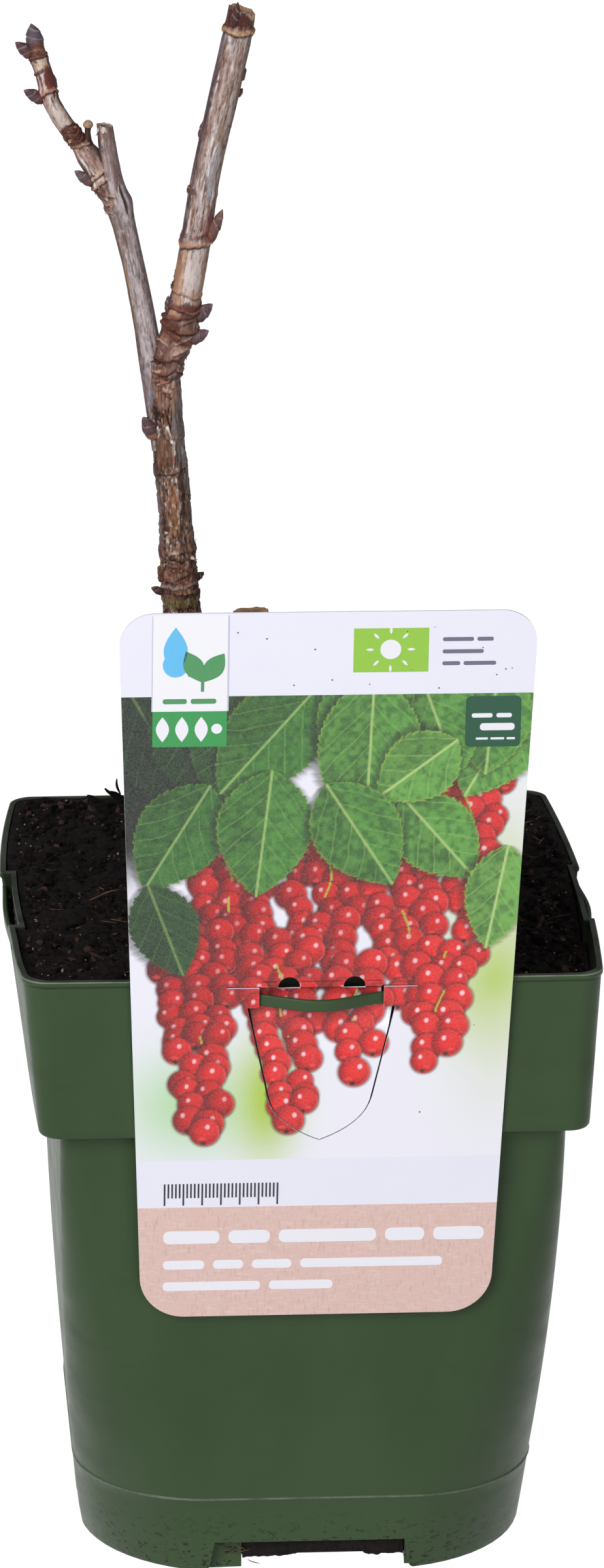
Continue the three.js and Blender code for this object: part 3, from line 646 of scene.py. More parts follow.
@dataclass(frozen=True)
class PotPlastic:
    """Moulded dark green plastic, faintly streaked, with dust of peat, and a highlight and a shadow painted
    at the lip.
    """

    colour: Colour = rgb(50, 71, 42)
    pale: Colour = rgb(61, 81, 53)
    dust: Colour = rgb(46, 40, 30)
    stain: Colour = rgb(20, 18, 15)
    # Pale colour of the mould line, and of the painted highlight along the rim's top.
    scuff_and_highlight: Colour = rgb(150, 158, 142)
    # Colour of the painted shadow under the lip.
    shadow: Colour = rgb(24, 34, 20)
    soil: Colour = rgb(22, 17, 13)
    line_height: float = MOULD_LINE_Z
    lip_foot: float = POT_HEIGHT - 1.75
    roughness: float = 0.4

    def material(self) -> Material:
        """Streaks down the wall, specks of dust and a fine moulded grain.

        Returns:
            The finished material.
        """
        r = Recipe("pot_plastic")
        base = r.coat(self.colour, r.noise((0.05, 0.05, 0.02)), 0.4, 0.7, 0.5, self.pale)
        smears = r.noise((0.05, 0.05, 0.11), 6, 0.65)
        base = r.coat(base, smears, 0.56, 0.8, 0.22, self.dust)
        base = r.coat(base, r.noise(0.9, 2), 0.74, 0.8, 0.6, self.dust)
        base = self.scuffs_and_painted_light(r, base)
        rough = r.spread(smears, 0.3, 0.8, self.roughness - 0.06, self.roughness + 0.14)
        waves = r.noise((0.03, 0.03, 0.05), 2)
        return r.finish(base, rough, r.bump(r.noise(2.2, 3), 0.02, r.bump(waves, 0.5)), 0.2)

    def band(self, r: Recipe, height: Socket, at: float, half: float, broken: Socket) -> Socket:
        """Level line round the pot, where a noise leaves it.

        Args:
            r: The material under construction.
            height: Height above the ground.
            at: Height of the line.
            half: Half its width.
            broken: Strength that the noise leaves.

        Returns:
            The line's strength.
        """
        line = r.times(r.spread(height, at, at + half, 1.0, 0.0), r.spread(height, at - half, at, 0.0, 1.0))
        return r.times(line, broken)

    def scuffs_and_painted_light(self, r: Recipe, base: Socket) -> Socket:
        """Paler foot, mould line, painted rim highlight and lip shadow, stained inside and soil.

        Args:
            r: The material under construction.
            base: Its colour so far.

        Returns:
            The colour with the scuffs and the soil.
        """
        height = r.add("SeparateXYZ", {"Vector": r.place()}).outputs["Z"]
        base = r.blend(r.spread(height, 8.0, 50.0, 0.6, 0.0), base, self.pale)
        patchy = r.noise(0.12, 4, 0.7)
        bands = (
            (self.line_height, 0.42, 0.05, 0.5, self.scuff_and_highlight),
            # Painted highlight: a pale line along the rim's top edge.
            (POT_HEIGHT - 0.15, 0.3, 0.3, 0.75, self.scuff_and_highlight),
            # Painted shadow: a dark line just under the lip.
            (self.lip_foot, 0.5, 0.5, 0.85, self.shadow),
        )
        for at, half, least, most, colour in bands:
            line = self.band(r, height, at, half, r.spread(patchy, 0.3, 0.6, least, most))
            base = r.blend(line, base, colour)
        low = r.spread(height, 5.0, 21.0, 1.0, 0.0)
        spots = r.spread(r.noise((0.5, 0.5, 0.9), 5, 0.7), 0.575, 0.595, 0.0, 0.95)
        base = r.blend(r.times(low, spots), base, self.soil)
        return r.blend(r.tint("Fac"), base, self.stain)


@dataclass(frozen=True)
class Peat:
    """Moist near-black peat with a coarse crumb."""

    dark: Colour = rgb(7, 4, 4)
    brown: Colour = rgb(38, 25, 21)
    straw: Colour = rgb(74, 50, 40)

    def material(self) -> Material:
        """Dark and brown crumbs with a rough fibrous bump.

        Returns:
            The finished material.
        """
        r = Recipe("peat")
        crumbs = r.noise(0.45, 8, 0.7)
        base = r.coat(self.dark, crumbs, 0.42, 0.66, 1.0, self.brown)
        fibre = r.noise((1.6, 0.5, 0.9), 6, 0.7, (20, 35, 50))
        base = r.coat(base, fibre, 0.6, 0.75, 0.6, self.straw)
        normal = r.bump(fibre, 0.9, r.bump(crumbs, 1.2))
        return r.finish(base, r.spread(fibre, 0.3, 0.7, 0.55, 0.95), normal, 0.25)


@dataclass(frozen=True)
class Grains:
    """Small loose bits of one plain colour, with a rough surface."""

    name: str
    colour: Colour
    second: Colour
    roughness: float = 0.9
    gloss: float = 0.3

    def material(self) -> Material:
        """Two near tones mixed by a soft noise, and a fine bump.

        Returns:
            The finished material.
        """
        r = Recipe(self.name)
        base = r.coat(self.colour, r.noise(0.35, 4, 0.6), 0.35, 0.65, 1.0, self.second)
        return r.finish(base, self.roughness, r.bump(r.noise(3.0), 0.12), self.gloss)


@dataclass(frozen=True)
class Bark:
    """Bark whose broad colours are set on the mesh, with fine fibres."""

    name: str
    fibre: float = 0.5
    depth: float = 0.2
    roughness: float = 0.46
    light: Colour = rgb(244, 232, 232)
    dark: Colour = rgb(112, 72, 64)

    def material(self) -> Material:
        """The mesh's tint under light and dark fibres along the limb.

        Returns:
            The finished material.
        """
        r = Recipe(self.name)
        fibres = r.noise((2.4, 2.4, 0.35), 6, 0.66)
        base = r.coat(r.tint(), fibres, 0.53, 0.68, self.fibre, self.light, "SOFT_LIGHT")
        base = r.coat(base, fibres, 0.48, 0.32, self.fibre, self.dark, "MULTIPLY")
        rough = r.spread(fibres, 0.3, 0.7, self.roughness + 0.14, self.roughness - 0.1)
        pores = r.noise((5.0, 5.0, 1.4), 3)
        return r.finish(base, rough, r.bump(pores, 0.4 * self.depth, r.bump(fibres, self.depth)), 0.2)


@dataclass(frozen=True)
class CardStock:
    """Smooth white plastic card."""

    colour: Colour = rgb(241, 240, 254)
    second: Colour = rgb(237, 236, 251)

    def material(self) -> Material:
        """A white sheet with hardly seen mottling and a soft gloss.

        Returns:
            The finished material.
        """
        r = Recipe("card_white")
        mottle = r.noise(0.08)
        base = r.coat(self.colour, mottle, 0.4, 0.7, 0.5, self.second)
        return r.finish(base, r.spread(mottle, 0.3, 0.7, 0.3, 0.38), r.bump(r.noise(4.0, 2), 0.004), 0.4)


@dataclass(frozen=True)
class Ink:
    """A flat printed colour on the card."""

    name: str
    colour: Colour
    uneven: float = 0.24

    def material(self) -> Material:
        """The ink, a little uneven, with the card's gloss.

        Returns:
            The finished material.
        """
        r = Recipe(self.name)
        dots = r.noise(1.1, 4, 0.6)
        dark = tuple(0.82 * c for c in self.colour)
        base = r.coat(self.colour, dots, 0.4, 0.7, self.uneven, dark)
        return r.finish(base, r.spread(dots, 0.3, 0.7, 0.3, 0.4), r.bump(dots, 0.004), 0.4)


@dataclass(frozen=True)
class KraftInk:
    """Printed brown paper look, with short fibres."""

    colour: Colour = rgb(226, 193, 185)
    light: Colour = rgb(238, 213, 206)
    dark: Colour = rgb(196, 160, 149)

    def material(self) -> Material:
        """Tan ground with lighter and darker fibres in all directions.

        Returns:
            The finished material.
        """
        r = Recipe("print_kraft")
        first = r.noise((0.35, 1.9, 1.9), 5, 0.6, (0, 25, 0))
        second = r.noise((1.9, 1.9, 0.35), 5, 0.6, (0, 20, 0))
        base = r.coat(self.colour, first, 0.5, 0.68, 0.6, self.light)
        base = r.coat(base, second, 0.53, 0.7, 0.55, self.dark)
        return r.finish(base, 0.38, r.bump(first, 0.004), 0.4)


@dataclass(frozen=True)
class PictureInk:
    """Printed picture whose colours are set on the mesh."""

    def material(self) -> Material:
        """The picture's tint with a hardly seen print grain.

        Returns:
            The finished material.
        """
        r = Recipe("print_picture")
        dots = r.noise(2.4, 2)
        base = r.coat(r.tint(), dots, 0.35, 0.65, 0.05, (1.0, 1.0, 1.0))
        return r.finish(base, 0.33, r.bump(dots, 0.003), 0.42)


@dataclass(frozen=True)
class StudioFloor:
    """Plain pale floor."""

    colour: Colour = (0.25, 0.25, 0.255)
    glow: float = 1.0

    def material(self) -> Material:
        """An even matt white.

        Returns:
            The finished material.
        """
        r = Recipe("studio_floor")
        r.feed(r.shader.inputs["Emission Color"], (1.0, 1.0, 1.0))
        r.feed(r.shader.inputs["Emission Strength"], self.glow)
        return r.finish(self.colour, 0.9, None, 0.1)


# Putting pieces in.


def linked(name: str, data: bpy.types.ID) -> Thing:
    """A new object with its data, linked into the scene.

    Args:
        name: Its name.
        data: Its mesh, lamp or camera.

    Returns:
        The object.
    """
    thing = bpy.data.objects.new(name, data)
    bpy.context.scene.collection.objects.link(thing)
    return thing


def taken(things: object, key: str, kind: type, width: int = 1) -> Array:
    """One property of all a mesh's things, as an array.

    Args:
        things: Corners, edges or faces.
        key: The property.
        kind: Type of its numbers.
        width: Numbers a thing.

    Returns:
        The numbers in one row.
    """
    values = np.empty(width * len(things), kind)
    things.foreach_get(key, values)
    return values


@dataclass(frozen=True)
class Bench:
    """Puts finished surfaces into the scene, in the model's frame.

    Attributes:
        axis_x: Where the pot's axis stands along X, in millimetres.
        axis_y: Where it stands along Y.
    """

    axis_x: float
    axis_y: float

    @classmethod
    def from_frame(cls) -> Bench:
        """Finds the pot's axis from the card's and the peat's boxes.

        Returns:
            The bench.
        """
        card_low, card_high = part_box("label_card")
        soil_low, soil_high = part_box("soil")
        x = 0.5 * (card_low.x + card_high.x) / MM - CARD_CENTRE_X
        y = 0.5 * (soil_low.y + soil_high.y) / MM
        return cls(x, y)

    def framed(self, points: Array) -> Array:
        """Points in the model's frame, in metres."""
        return (points + np.array([self.axis_x, self.axis_y, 0.0])) * MM

    def put(self, name: str, surface: Surface, material: Material, sharp: float = 40.0) -> Thing:
        """Makes a piece out of a surface and lets it ride on the body.

        Args:
            name: The piece's name.
            surface: Its points, faces and colours.
            material: Its finish.
            sharp: Edges that turn by more degrees than this stay sharp.

        Returns:
            The piece.
        """
        mesh = bpy.data.meshes.new(name)
        points = self.framed(surface.points).astype(np.float32)
        loops = np.concatenate([group.ravel() for group in surface.faces]).astype(np.int32)
        sizes = np.concatenate([np.full(len(group), group.shape[1]) for group in surface.faces])
        starts = np.concatenate([[0], np.cumsum(sizes)[:-1]]).astype(np.int32)
        for things, count, key, values in (
            (mesh.vertices, len(points), "co", points.ravel()),
            (mesh.loops, len(loops), "vertex_index", loops),
            (mesh.polygons, len(starts), "loop_start", starts),
        ):
            things.add(count)
            things.foreach_set(key, values)
        mesh.update(calc_edges=True)
        mesh.validate()
        if surface.colours is not None:
            tint = mesh.attributes.new("tint", "FLOAT_COLOR", "POINT")
            rgba = np.concatenate([surface.colours, np.ones((len(points), 1))], axis=1)
            tint.data.foreach_set("color", rgba.astype(np.float32).ravel())
        mesh.materials.append(material)
        mesh.shade_smooth()
        mesh.set_sharp_from_angle(angle=math.radians(sharp))
        piece = linked(name, mesh)
        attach(piece, BODY)
        LOG.info("%s: %d triangles", name, int((sizes - 2).sum()))
        return piece


class Knife(Enum):
    """How one solid acts on another."""

    CUT = "DIFFERENCE"
    KEEP = "INTERSECT"


def carved(body: Surface, tool: Surface, knife: Knife = Knife.CUT) -> Surface:
    """A closed surface cut by another, or kept only inside it.

    Args:
        body: The closed surface that is worked on.
        tool: The closed surface that works on it.
        knife: Whether the tool's inside is taken away or kept.

    Returns:
        The closed surface that is left, without colours.
    """
    pieces = []
    for name, surface in (("carved_body", body), ("carved_tool", tool)):
        mesh = bpy.data.meshes.new(name)
        mesh.from_pydata(surface.points.tolist(), [], [f for g in surface.faces for f in g.tolist()])
        pieces.append(linked(name, mesh))
    work = pieces[0].modifiers.new("knife", "BOOLEAN")
    work.operation = knife.value
    work.solver = "MANIFOLD"
    work.object = pieces[1]
    bpy.context.view_layer.update()
    done = pieces[0].evaluated_get(bpy.context.evaluated_depsgraph_get())
    mesh = bpy.data.meshes.new_from_object(done)
    points = taken(mesh.vertices, "co", np.float32, 3)
    loops = taken(mesh.loops, "vertex_index", np.int32)
    starts = taken(mesh.polygons, "loop_start", np.int32)
    sizes = taken(mesh.polygons, "loop_total", np.int32)
    faces = [loops[starts[sizes == s][:, None] + np.arange(s)] for s in np.unique(sizes)]
    used = [mesh, *[piece.data for piece in pieces]]
    for piece in pieces:
        bpy.data.objects.remove(piece)
    for mesh in used:
        bpy.data.meshes.remove(mesh)
    return Surface(points.reshape(-1, 3).astype(float), faces)


def slab(front: Array, back_z: float) -> Surface:
    """Closed thin slab from a grid of points, with a flat back.

    Args:
        front: Grid of points by row and column, its last number the height.
        back_z: Height of the back.

    Returns:
        The slab: the grid, a skirt down to the back, and a fan there.
    """
    rows, columns = front.shape[:2]
    count = rows * columns
    index = np.arange(count).reshape(rows, columns)
    edge = np.concatenate([index[0, :-1], index[:-1, -1], index[-1, :0:-1], index[:0:-1, 0]])
    points = front.reshape(-1, 3)
    low = xyz(points[edge, 0], points[edge, 1], back_z)
    under = count + np.arange(len(edge))
    skirt = np.stack([np.roll(edge, -1), edge, under, np.roll(under, -1)], axis=-1)
    faces = [fan(under, count + len(edge)), np.concatenate([grid_faces(rows, columns), skirt])]
    return Surface(np.concatenate([points, low, low.mean(0, keepdims=True)]), faces).outward()


def prism(outline: Array, low: float = -6.0, high: float = 6.0) -> Surface:
    """Closed prism of a flat outline between two heights.

    Args:
        outline: Its corners in order, two numbers each.
        low: Height of its foot.
        high: Height of its top.

    Returns:
        The prism.
    """
    points = np.concatenate([xyz(outline[:, 0], outline[:, 1], height) for height in (low, high)])
    count = len(outline)
    turn = np.arange(count)
    after = np.roll(turn, -1)
    sides = np.stack([turn, after, after + count, turn + count], axis=-1)
    ends = np.stack([turn[::-1], turn + count])
    return Surface(points, [np.concatenate([sides, ends])] if count == 4 else [sides, ends]).outward()


# The pot.


@dataclass(frozen=True)
class SquarePlan:
    """The rounded square that the pot follows at every height."""

    straight_steps: int = 10
    corner_steps: int = 14

    @staticmethod
    def wall_half(z: Values) -> Array:
        """Half width of the outer wall: collar, or body with its swell.

        Args:
            z: Heights.

        Returns:
            One half width a height.
        """
        z = np.asarray(z, float)
        rise = np.clip((z - COLLAR_FOOT_Z) / COLLAR_HEIGHT, 0, 1)
        t = np.clip(z / COLLAR_FOOT_Z, 0, 1)
        body = lerp(BODY_FOOT_HALF, BODY_TOP_HALF, t) + BODY_SWELL * 4 * t * (1 - t)
        return np.where(z > COLLAR_FOOT_Z, lerp(COLLAR_FOOT_HALF, RIM_HALF, rise), body)

    @staticmethod
    def corner(z: Values) -> Array:
        """Corner radius of the plan, which opens towards the foot.

        Args:
            z: Heights.

        Returns:
            One radius a height.
        """
        z = np.asarray(z, float)
        opened = (1 - np.clip(z / COLLAR_FOOT_Z, 0, 1)) ** CORNER_EASE
        less = FOOT_CORNER_LESS * np.clip(1 - z / FOOT_BAND, 0, 1)
        return TOP_CORNER + (FOOT_CORNER - TOP_CORNER) * opened - less

    @staticmethod
    def settle(points: Array) -> Array:
        """Points of the true square plan, moved to where the filled pot has them.

        The foot stands aside by an offset that fades towards the rim, and its
        band spreads a little. Over the collar each side bows out in proportion
        to the share across and to one minus the square of the share along the
        side, and the rim's left front corner is pressed out.

        Args:
            points: Points on the true plan.

        Returns:
            The moved points.
        """
        x, y, z = points[..., 0], points[..., 1], points[..., 2]
        rise = np.clip((z - COLLAR_FOOT_Z) / COLLAR_HEIGHT, 0, 1)

        def bowed(place: Array, across: Array, low: Side, high: Side) -> Array:
            """How far two opposite sides are bowed out.

            Args:
                place: Distance out from the middle, below 0 towards the low side.
                across: Distance along the side from its middle.
                low: The side below 0.
                high: The side above 0.

            Returns:
                The move outwards of each point.
            """
            bows = [lerp(COLLAR_FOOT_BOW[side], RIM_BOW[side], rise) for side in (low, high)]
            share = np.maximum(0, 1 - (across / RIM_HALF) ** 2)
            return np.where(place < 0, bows[0], bows[1]) * (place / RIM_HALF) * share

        pressed = CORNER_OUT * rise * (x < 0) * np.abs(x / RIM_HALF) ** 3 * ease(-y, 30, 70)
        move_x = bowed(x, y, Side.LEFT, Side.RIGHT) - pressed
        move_y = bowed(y, x, Side.FRONT, Side.BACK)
        offset = FOOT_OFFSET * (1 - np.minimum(z / POT_HEIGHT, 1))
        band = FOOT_SPREAD * np.clip(1 - z / FOOT_BAND, 0, 1)
        on_collar = z >= COLLAR_FOOT_Z
        return points + xyz(offset + band * x + on_collar * move_x, band * y + on_collar * move_y, 0)

    def rings(self, profile: Array) -> Array:
        """Rings of points for a profile.

        Each quarter of a ring is a straight, a quarter circle and a straight,
        and the four quarters are turns of the first.

        Args:
            profile: Half widths and heights, one row a ring.

        Returns:
            Settled points by ring and place.
        """
        half, z = profile[:, :1], profile[:, 1:]
        corner = np.minimum(self.corner(z) * half / self.wall_half(z), half)
        straight = half - corner
        way = np.arange(self.straight_steps) / self.straight_steps
        turn = np.arange(self.corner_steps) / self.corner_steps * (math.pi / 2)
        along = np.hstack([straight * way, straight + corner * np.sin(turn), half + 0 * way])
        out = np.hstack([half + 0 * way, straight + corner * np.cos(turn), straight * (1 - way)])
        quarters = [xyz(*about(along, -out, side.value * math.pi / 2), z) for side in Side]
        return self.settle(np.concatenate(quarters, axis=1))

    def solid(self, profile: Sequence[Numbers]) -> Surface:
        """Closed solid of square plan over a profile."""
        return sleeve(self.rings(np.array(profile, float)))

    def turned(self, points: Array, side: Side) -> Array:
        """Points drawn for the front side, turned to a side and settled."""
        x, y = about(points[..., 0], points[..., 1], side.value * math.pi / 2)
        return self.settle(xyz(x, y, points[..., 2]))


@dataclass
class Pot:
    """Square pot with a deep collar, card pockets, straps and drains."""

    plan: SquarePlan = field(default_factory=SquarePlan)
    lip_height: float = 1.7
    lip_out: float = 0.35
    edge: float = 0.4
    mould_height: float = MOULD_LINE_Z
    mould_half: float = 0.5
    mould_out: float = 0.3
    foot_width: float = 3.2
    pocket_length: float = 42.0
    pocket_floor: float = 8.5
    pocket_ramp: float = 14.0
    strap_top: float = 3.85
    strap_height: float = 3.2
    strap_thickness: float = 1.3
    alcove_top: float = 25.8
    alcove_foot: float = 27.3
    alcove_height: float = 9.4
    alcove_depth: float = 3.6
    alcove_flare: float = 2.2
    drain_from: float = -18.2
    drain_to: float = 26.2
    drain_top: float = 8.9
    drain_inward: float = 5.6
    room: float = 6.0

    def outer_profile(self) -> list[Pair]:
        """Outer face from under the floor, round foot, line, collar and lip.

        Returns:
            Half widths and heights.
        """
        e, foot, line = self.edge, BODY_FOOT_HALF, self.mould_height
        lip = POT_HEIGHT - self.lip_height
        rim = RIM_HALF + self.lip_out
        return [
            (foot - self.foot_width - 2 * e, FLOOR_LIFT),
            (foot - self.foot_width - e, 0.15),
            (foot - self.foot_width, 0.0),
            (foot - 1.4 * e, 0.0),
            (foot - 0.3 * e, 0.5 * e),
            *self.wall(2 * e, line - self.mould_half, 8),
            (self.wall(line, line, 1)[0][0] + self.mould_out, line),
            *self.wall(line + self.mould_half, COLLAR_FOOT_Z - 1.2, 22),
            (BODY_TOP_HALF, COLLAR_FOOT_Z - 0.5),
            (BODY_TOP_HALF + 0.5, COLLAR_FOOT_Z + 0.005),
            (COLLAR_FOOT_HALF - 1.0, COLLAR_FOOT_Z + 0.01),
            (COLLAR_FOOT_HALF - 0.3, COLLAR_FOOT_Z + 0.2),
            (COLLAR_FOOT_HALF, COLLAR_FOOT_Z + 0.8),
            *self.wall(COLLAR_FOOT_Z + 2, lip - 0.5, 10),
            *self.wall(lip, lip, 1),
            (rim - 0.1, lip + 0.3),
            (rim, lip + 0.55),
            (rim, POT_HEIGHT - 0.5),
            (rim - 0.12, POT_HEIGHT - 0.15),
            (rim - 0.42, POT_HEIGHT),
        ]

    def wall(self, low: float, high: float, count: int, inset: float = 0.0) -> list[Pair]:
        """Half widths and heights of the wall at even steps, inset by a gap."""
        return [(float(self.plan.wall_half(z)) - inset, float(z)) for z in np.linspace(low, high, count)]

    def inner_profile(self, gap: float) -> list[Pair]:
        """Inner space from the floor up, past the rim.

        Args:
            gap: How far it stands off the wall.

        Returns:
            Half widths and heights.
        """
        floor = FLOOR_LIFT + FLOOR_THICKNESS + gap
        inset = WALL + gap
        shelf = COLLAR_FOOT_Z + WALL + gap
        return [
            (self.wall(floor, floor, 1, inset)[0][0] - 2.2, floor),
            *self.wall(floor + 2.2, COLLAR_FOOT_Z, 12, inset),
            (self.wall(COLLAR_FOOT_Z, shelf, 1, inset)[0][0], shelf - 0.5),
            *self.wall(shelf, POT_HEIGHT, 8, inset),
            (RIM_HALF - inset, POT_HEIGHT + self.room),
        ]

    def across(self, side: Side, x: Values, y: Values, z: Values) -> Surface:
        """Closed skin over rings of places drawn for the front, put on a side."""
        return sleeve(self.plan.turned(xyz(x, y, z), side))

    def side_prism(self, outline: Sequence[Numbers], length: float, side: Side) -> Surface:
        """Prism along a side.

        Args:
            outline: Inward depths and heights of its section.
            length: How long it is.
            side: The side that it stands on.

        Returns:
            The prism.
        """
        shape = np.array(outline, float)
        x = POCKET_SHIFT[side] + np.linspace(-length / 2, length / 2, 25)
        return self.across(side, x[:, None], -RIM_HALF + shape[:, 0], shape[:, 1])

    def pocket(self, side: Side, margin: float) -> Surface:
        """The cut that makes a card pocket, or its boss inside the wall.

        Args:
            side: The pocket's side.
            margin: How much larger than the pocket it is.

        Returns:
            The closed shape.
        """
        inner = POCKET_DEPTH[side] + margin
        above = POT_HEIGHT + self.room
        foot = POT_HEIGHT - self.pocket_ramp - 1.5 * margin
        floor = POT_HEIGHT - self.pocket_floor - 0.6 * margin
        outline = [[-REACH, above], [-REACH, foot], [0, foot], [inner, floor], [inner, above]]
        return self.side_prism(outline, self.pocket_length + 2 * margin, side)

    def strap(self, side: Side) -> Surface:
        """Strap across a pocket's mouth, bowed outwards, of rounded section.

        Args:
            side: The strap's side.

        Returns:
            The closed strap.
        """
        half = self.pocket_length / 2
        x = np.linspace(-half - 0.9, half + 0.9, 41)
        out = STRAP_BOW[side] * np.cos(np.clip(np.abs(x) / half, 0, 1) * math.pi / 2) ** 2
        angle = full_turn(20)
        across = np.sign(np.cos(angle)) * np.abs(np.cos(angle)) ** 0.45 * self.strap_thickness / 2
        up = np.sign(np.sin(angle)) * np.abs(np.sin(angle)) ** 0.35 * self.strap_height / 2
        y = -RIM_HALF + self.strap_thickness / 2 - out[:, None] + across
        z = POT_HEIGHT - self.strap_top - self.strap_height / 2 + up
        return self.across(side, x[:, None] + POCKET_SHIFT[side], y, z)

    def alcove(self, side: Side) -> Surface:
        """Cut of an alcove at the foot, with ends that flare into the foot.

        Args:
            side: The alcove's side.

        Returns:
            The closed shape.
        """
        t = np.linspace(0, 1, 7)[1:]
        flared, leaned = self.alcove_foot + self.alcove_flare, self.alcove_foot - 0.3
        curve = flared * (1 - t) ** 2 + 2 * self.alcove_foot * t * (1 - t) + leaned * t**2
        x = np.concatenate([[flared, flared], curve, [self.alcove_top]])
        z = np.concatenate([[-REACH, 0], self.alcove_flare * t**2, [self.alcove_height]])
        y = -BODY_FOOT_HALF + np.array([[-REACH], [self.alcove_depth]])
        return self.across(side, np.concatenate([-x, x[::-1]]), y, np.concatenate([z, z[::-1]]))

    def foot_box(self, side: Side, along: Pair, inward: Pair, up: Pair) -> Surface:
        """Plain box on a side of the foot, between two places each way."""
        y = -BODY_FOOT_HALF + np.array(inward)[[0, 0, 1, 1]]
        return self.across(side, np.array(along)[[0, 1, 1, 0]], y, np.array(up)[:, None])

    def bosses(self, gap: float) -> Surface:
        """All that stands into the pot's inner space.

        Args:
            gap: How far the space stands off the walls.

        Returns:
            The closed shapes of the pockets and the alcoves.
        """
        margin = WALL + gap
        half = self.alcove_foot + self.alcove_flare + margin
        inward, up = (-REACH, self.alcove_depth + margin), (0.0, self.alcove_height + margin)
        parts = [(self.pocket(side, margin), self.foot_box(side, (-half, half), inward, up)) for side in Side]
        return joined([part for pair in parts for part in pair])

    def build(self) -> Surface:
        """The whole pot: outer solid less inner space, pockets and drains.

        Returns:
            The closed pot with its straps.
        """
        inner = self.plan.solid(self.inner_profile(0.0))
        shell = carved(self.plan.solid(self.outer_profile()), carved(inner, self.bosses(0.0)))
        cuts = [part for side in Side for part in (self.pocket(side, 0.0), self.alcove(side))]
        shell = carved(shell, joined(cuts))
        inward = (self.alcove_depth - 0.5, self.alcove_depth + self.drain_inward)
        along, up = (self.drain_from, self.drain_to), (-REACH, self.drain_top)
        shell = carved(shell, joined([self.foot_box(side, along, inward, up) for side in Side]))
        return joined([shell, *[self.strap(side) for side in Side]])

    def stained(self, shell: Surface) -> Surface:
        """The shell with the peat's stain on what faces inwards near the rim.

        Each point is taken back to the true square plan in two steps. The
        stain starts a little behind the outer wall, and it is mottled.

        Args:
            shell: The pot.

        Returns:
            The same pot with the stain's strength as its colours.
        """
        points = shell.points
        height = points[:, 2]
        true = 2 * points - self.plan.settle(points)
        true = points - (self.plan.settle(true) - true)
        over = np.abs(true[:, :2]) - (self.plan.wall_half(height) - TOP_CORNER)[:, None]
        depth = TOP_CORNER - np.hypot(*np.maximum(over, 0).T) - np.minimum(over.max(1), 0)
        mottle = 0.65 + 0.7 * (grain(points * 0.3, 3, 3) - 0.3)
        behind = np.where(height > POT_HEIGHT - 0.1, ease(depth, -0.3, 0.1), ease(depth, 0.3, 0.9))
        stain = behind * ease(height, 140, 158) * np.clip(mottle, 0, 1)
        shell.colours = np.repeat(stain[:, None], 3, axis=1)
        return shell

    def place(self, bench: Bench) -> None:
        """Puts the pot in, in place of the model's."""
        piece = bench.put("pot_body", self.stained(self.build()), PotPlastic().material(), 32.0)
        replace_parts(piece, "pot")


# The peat.


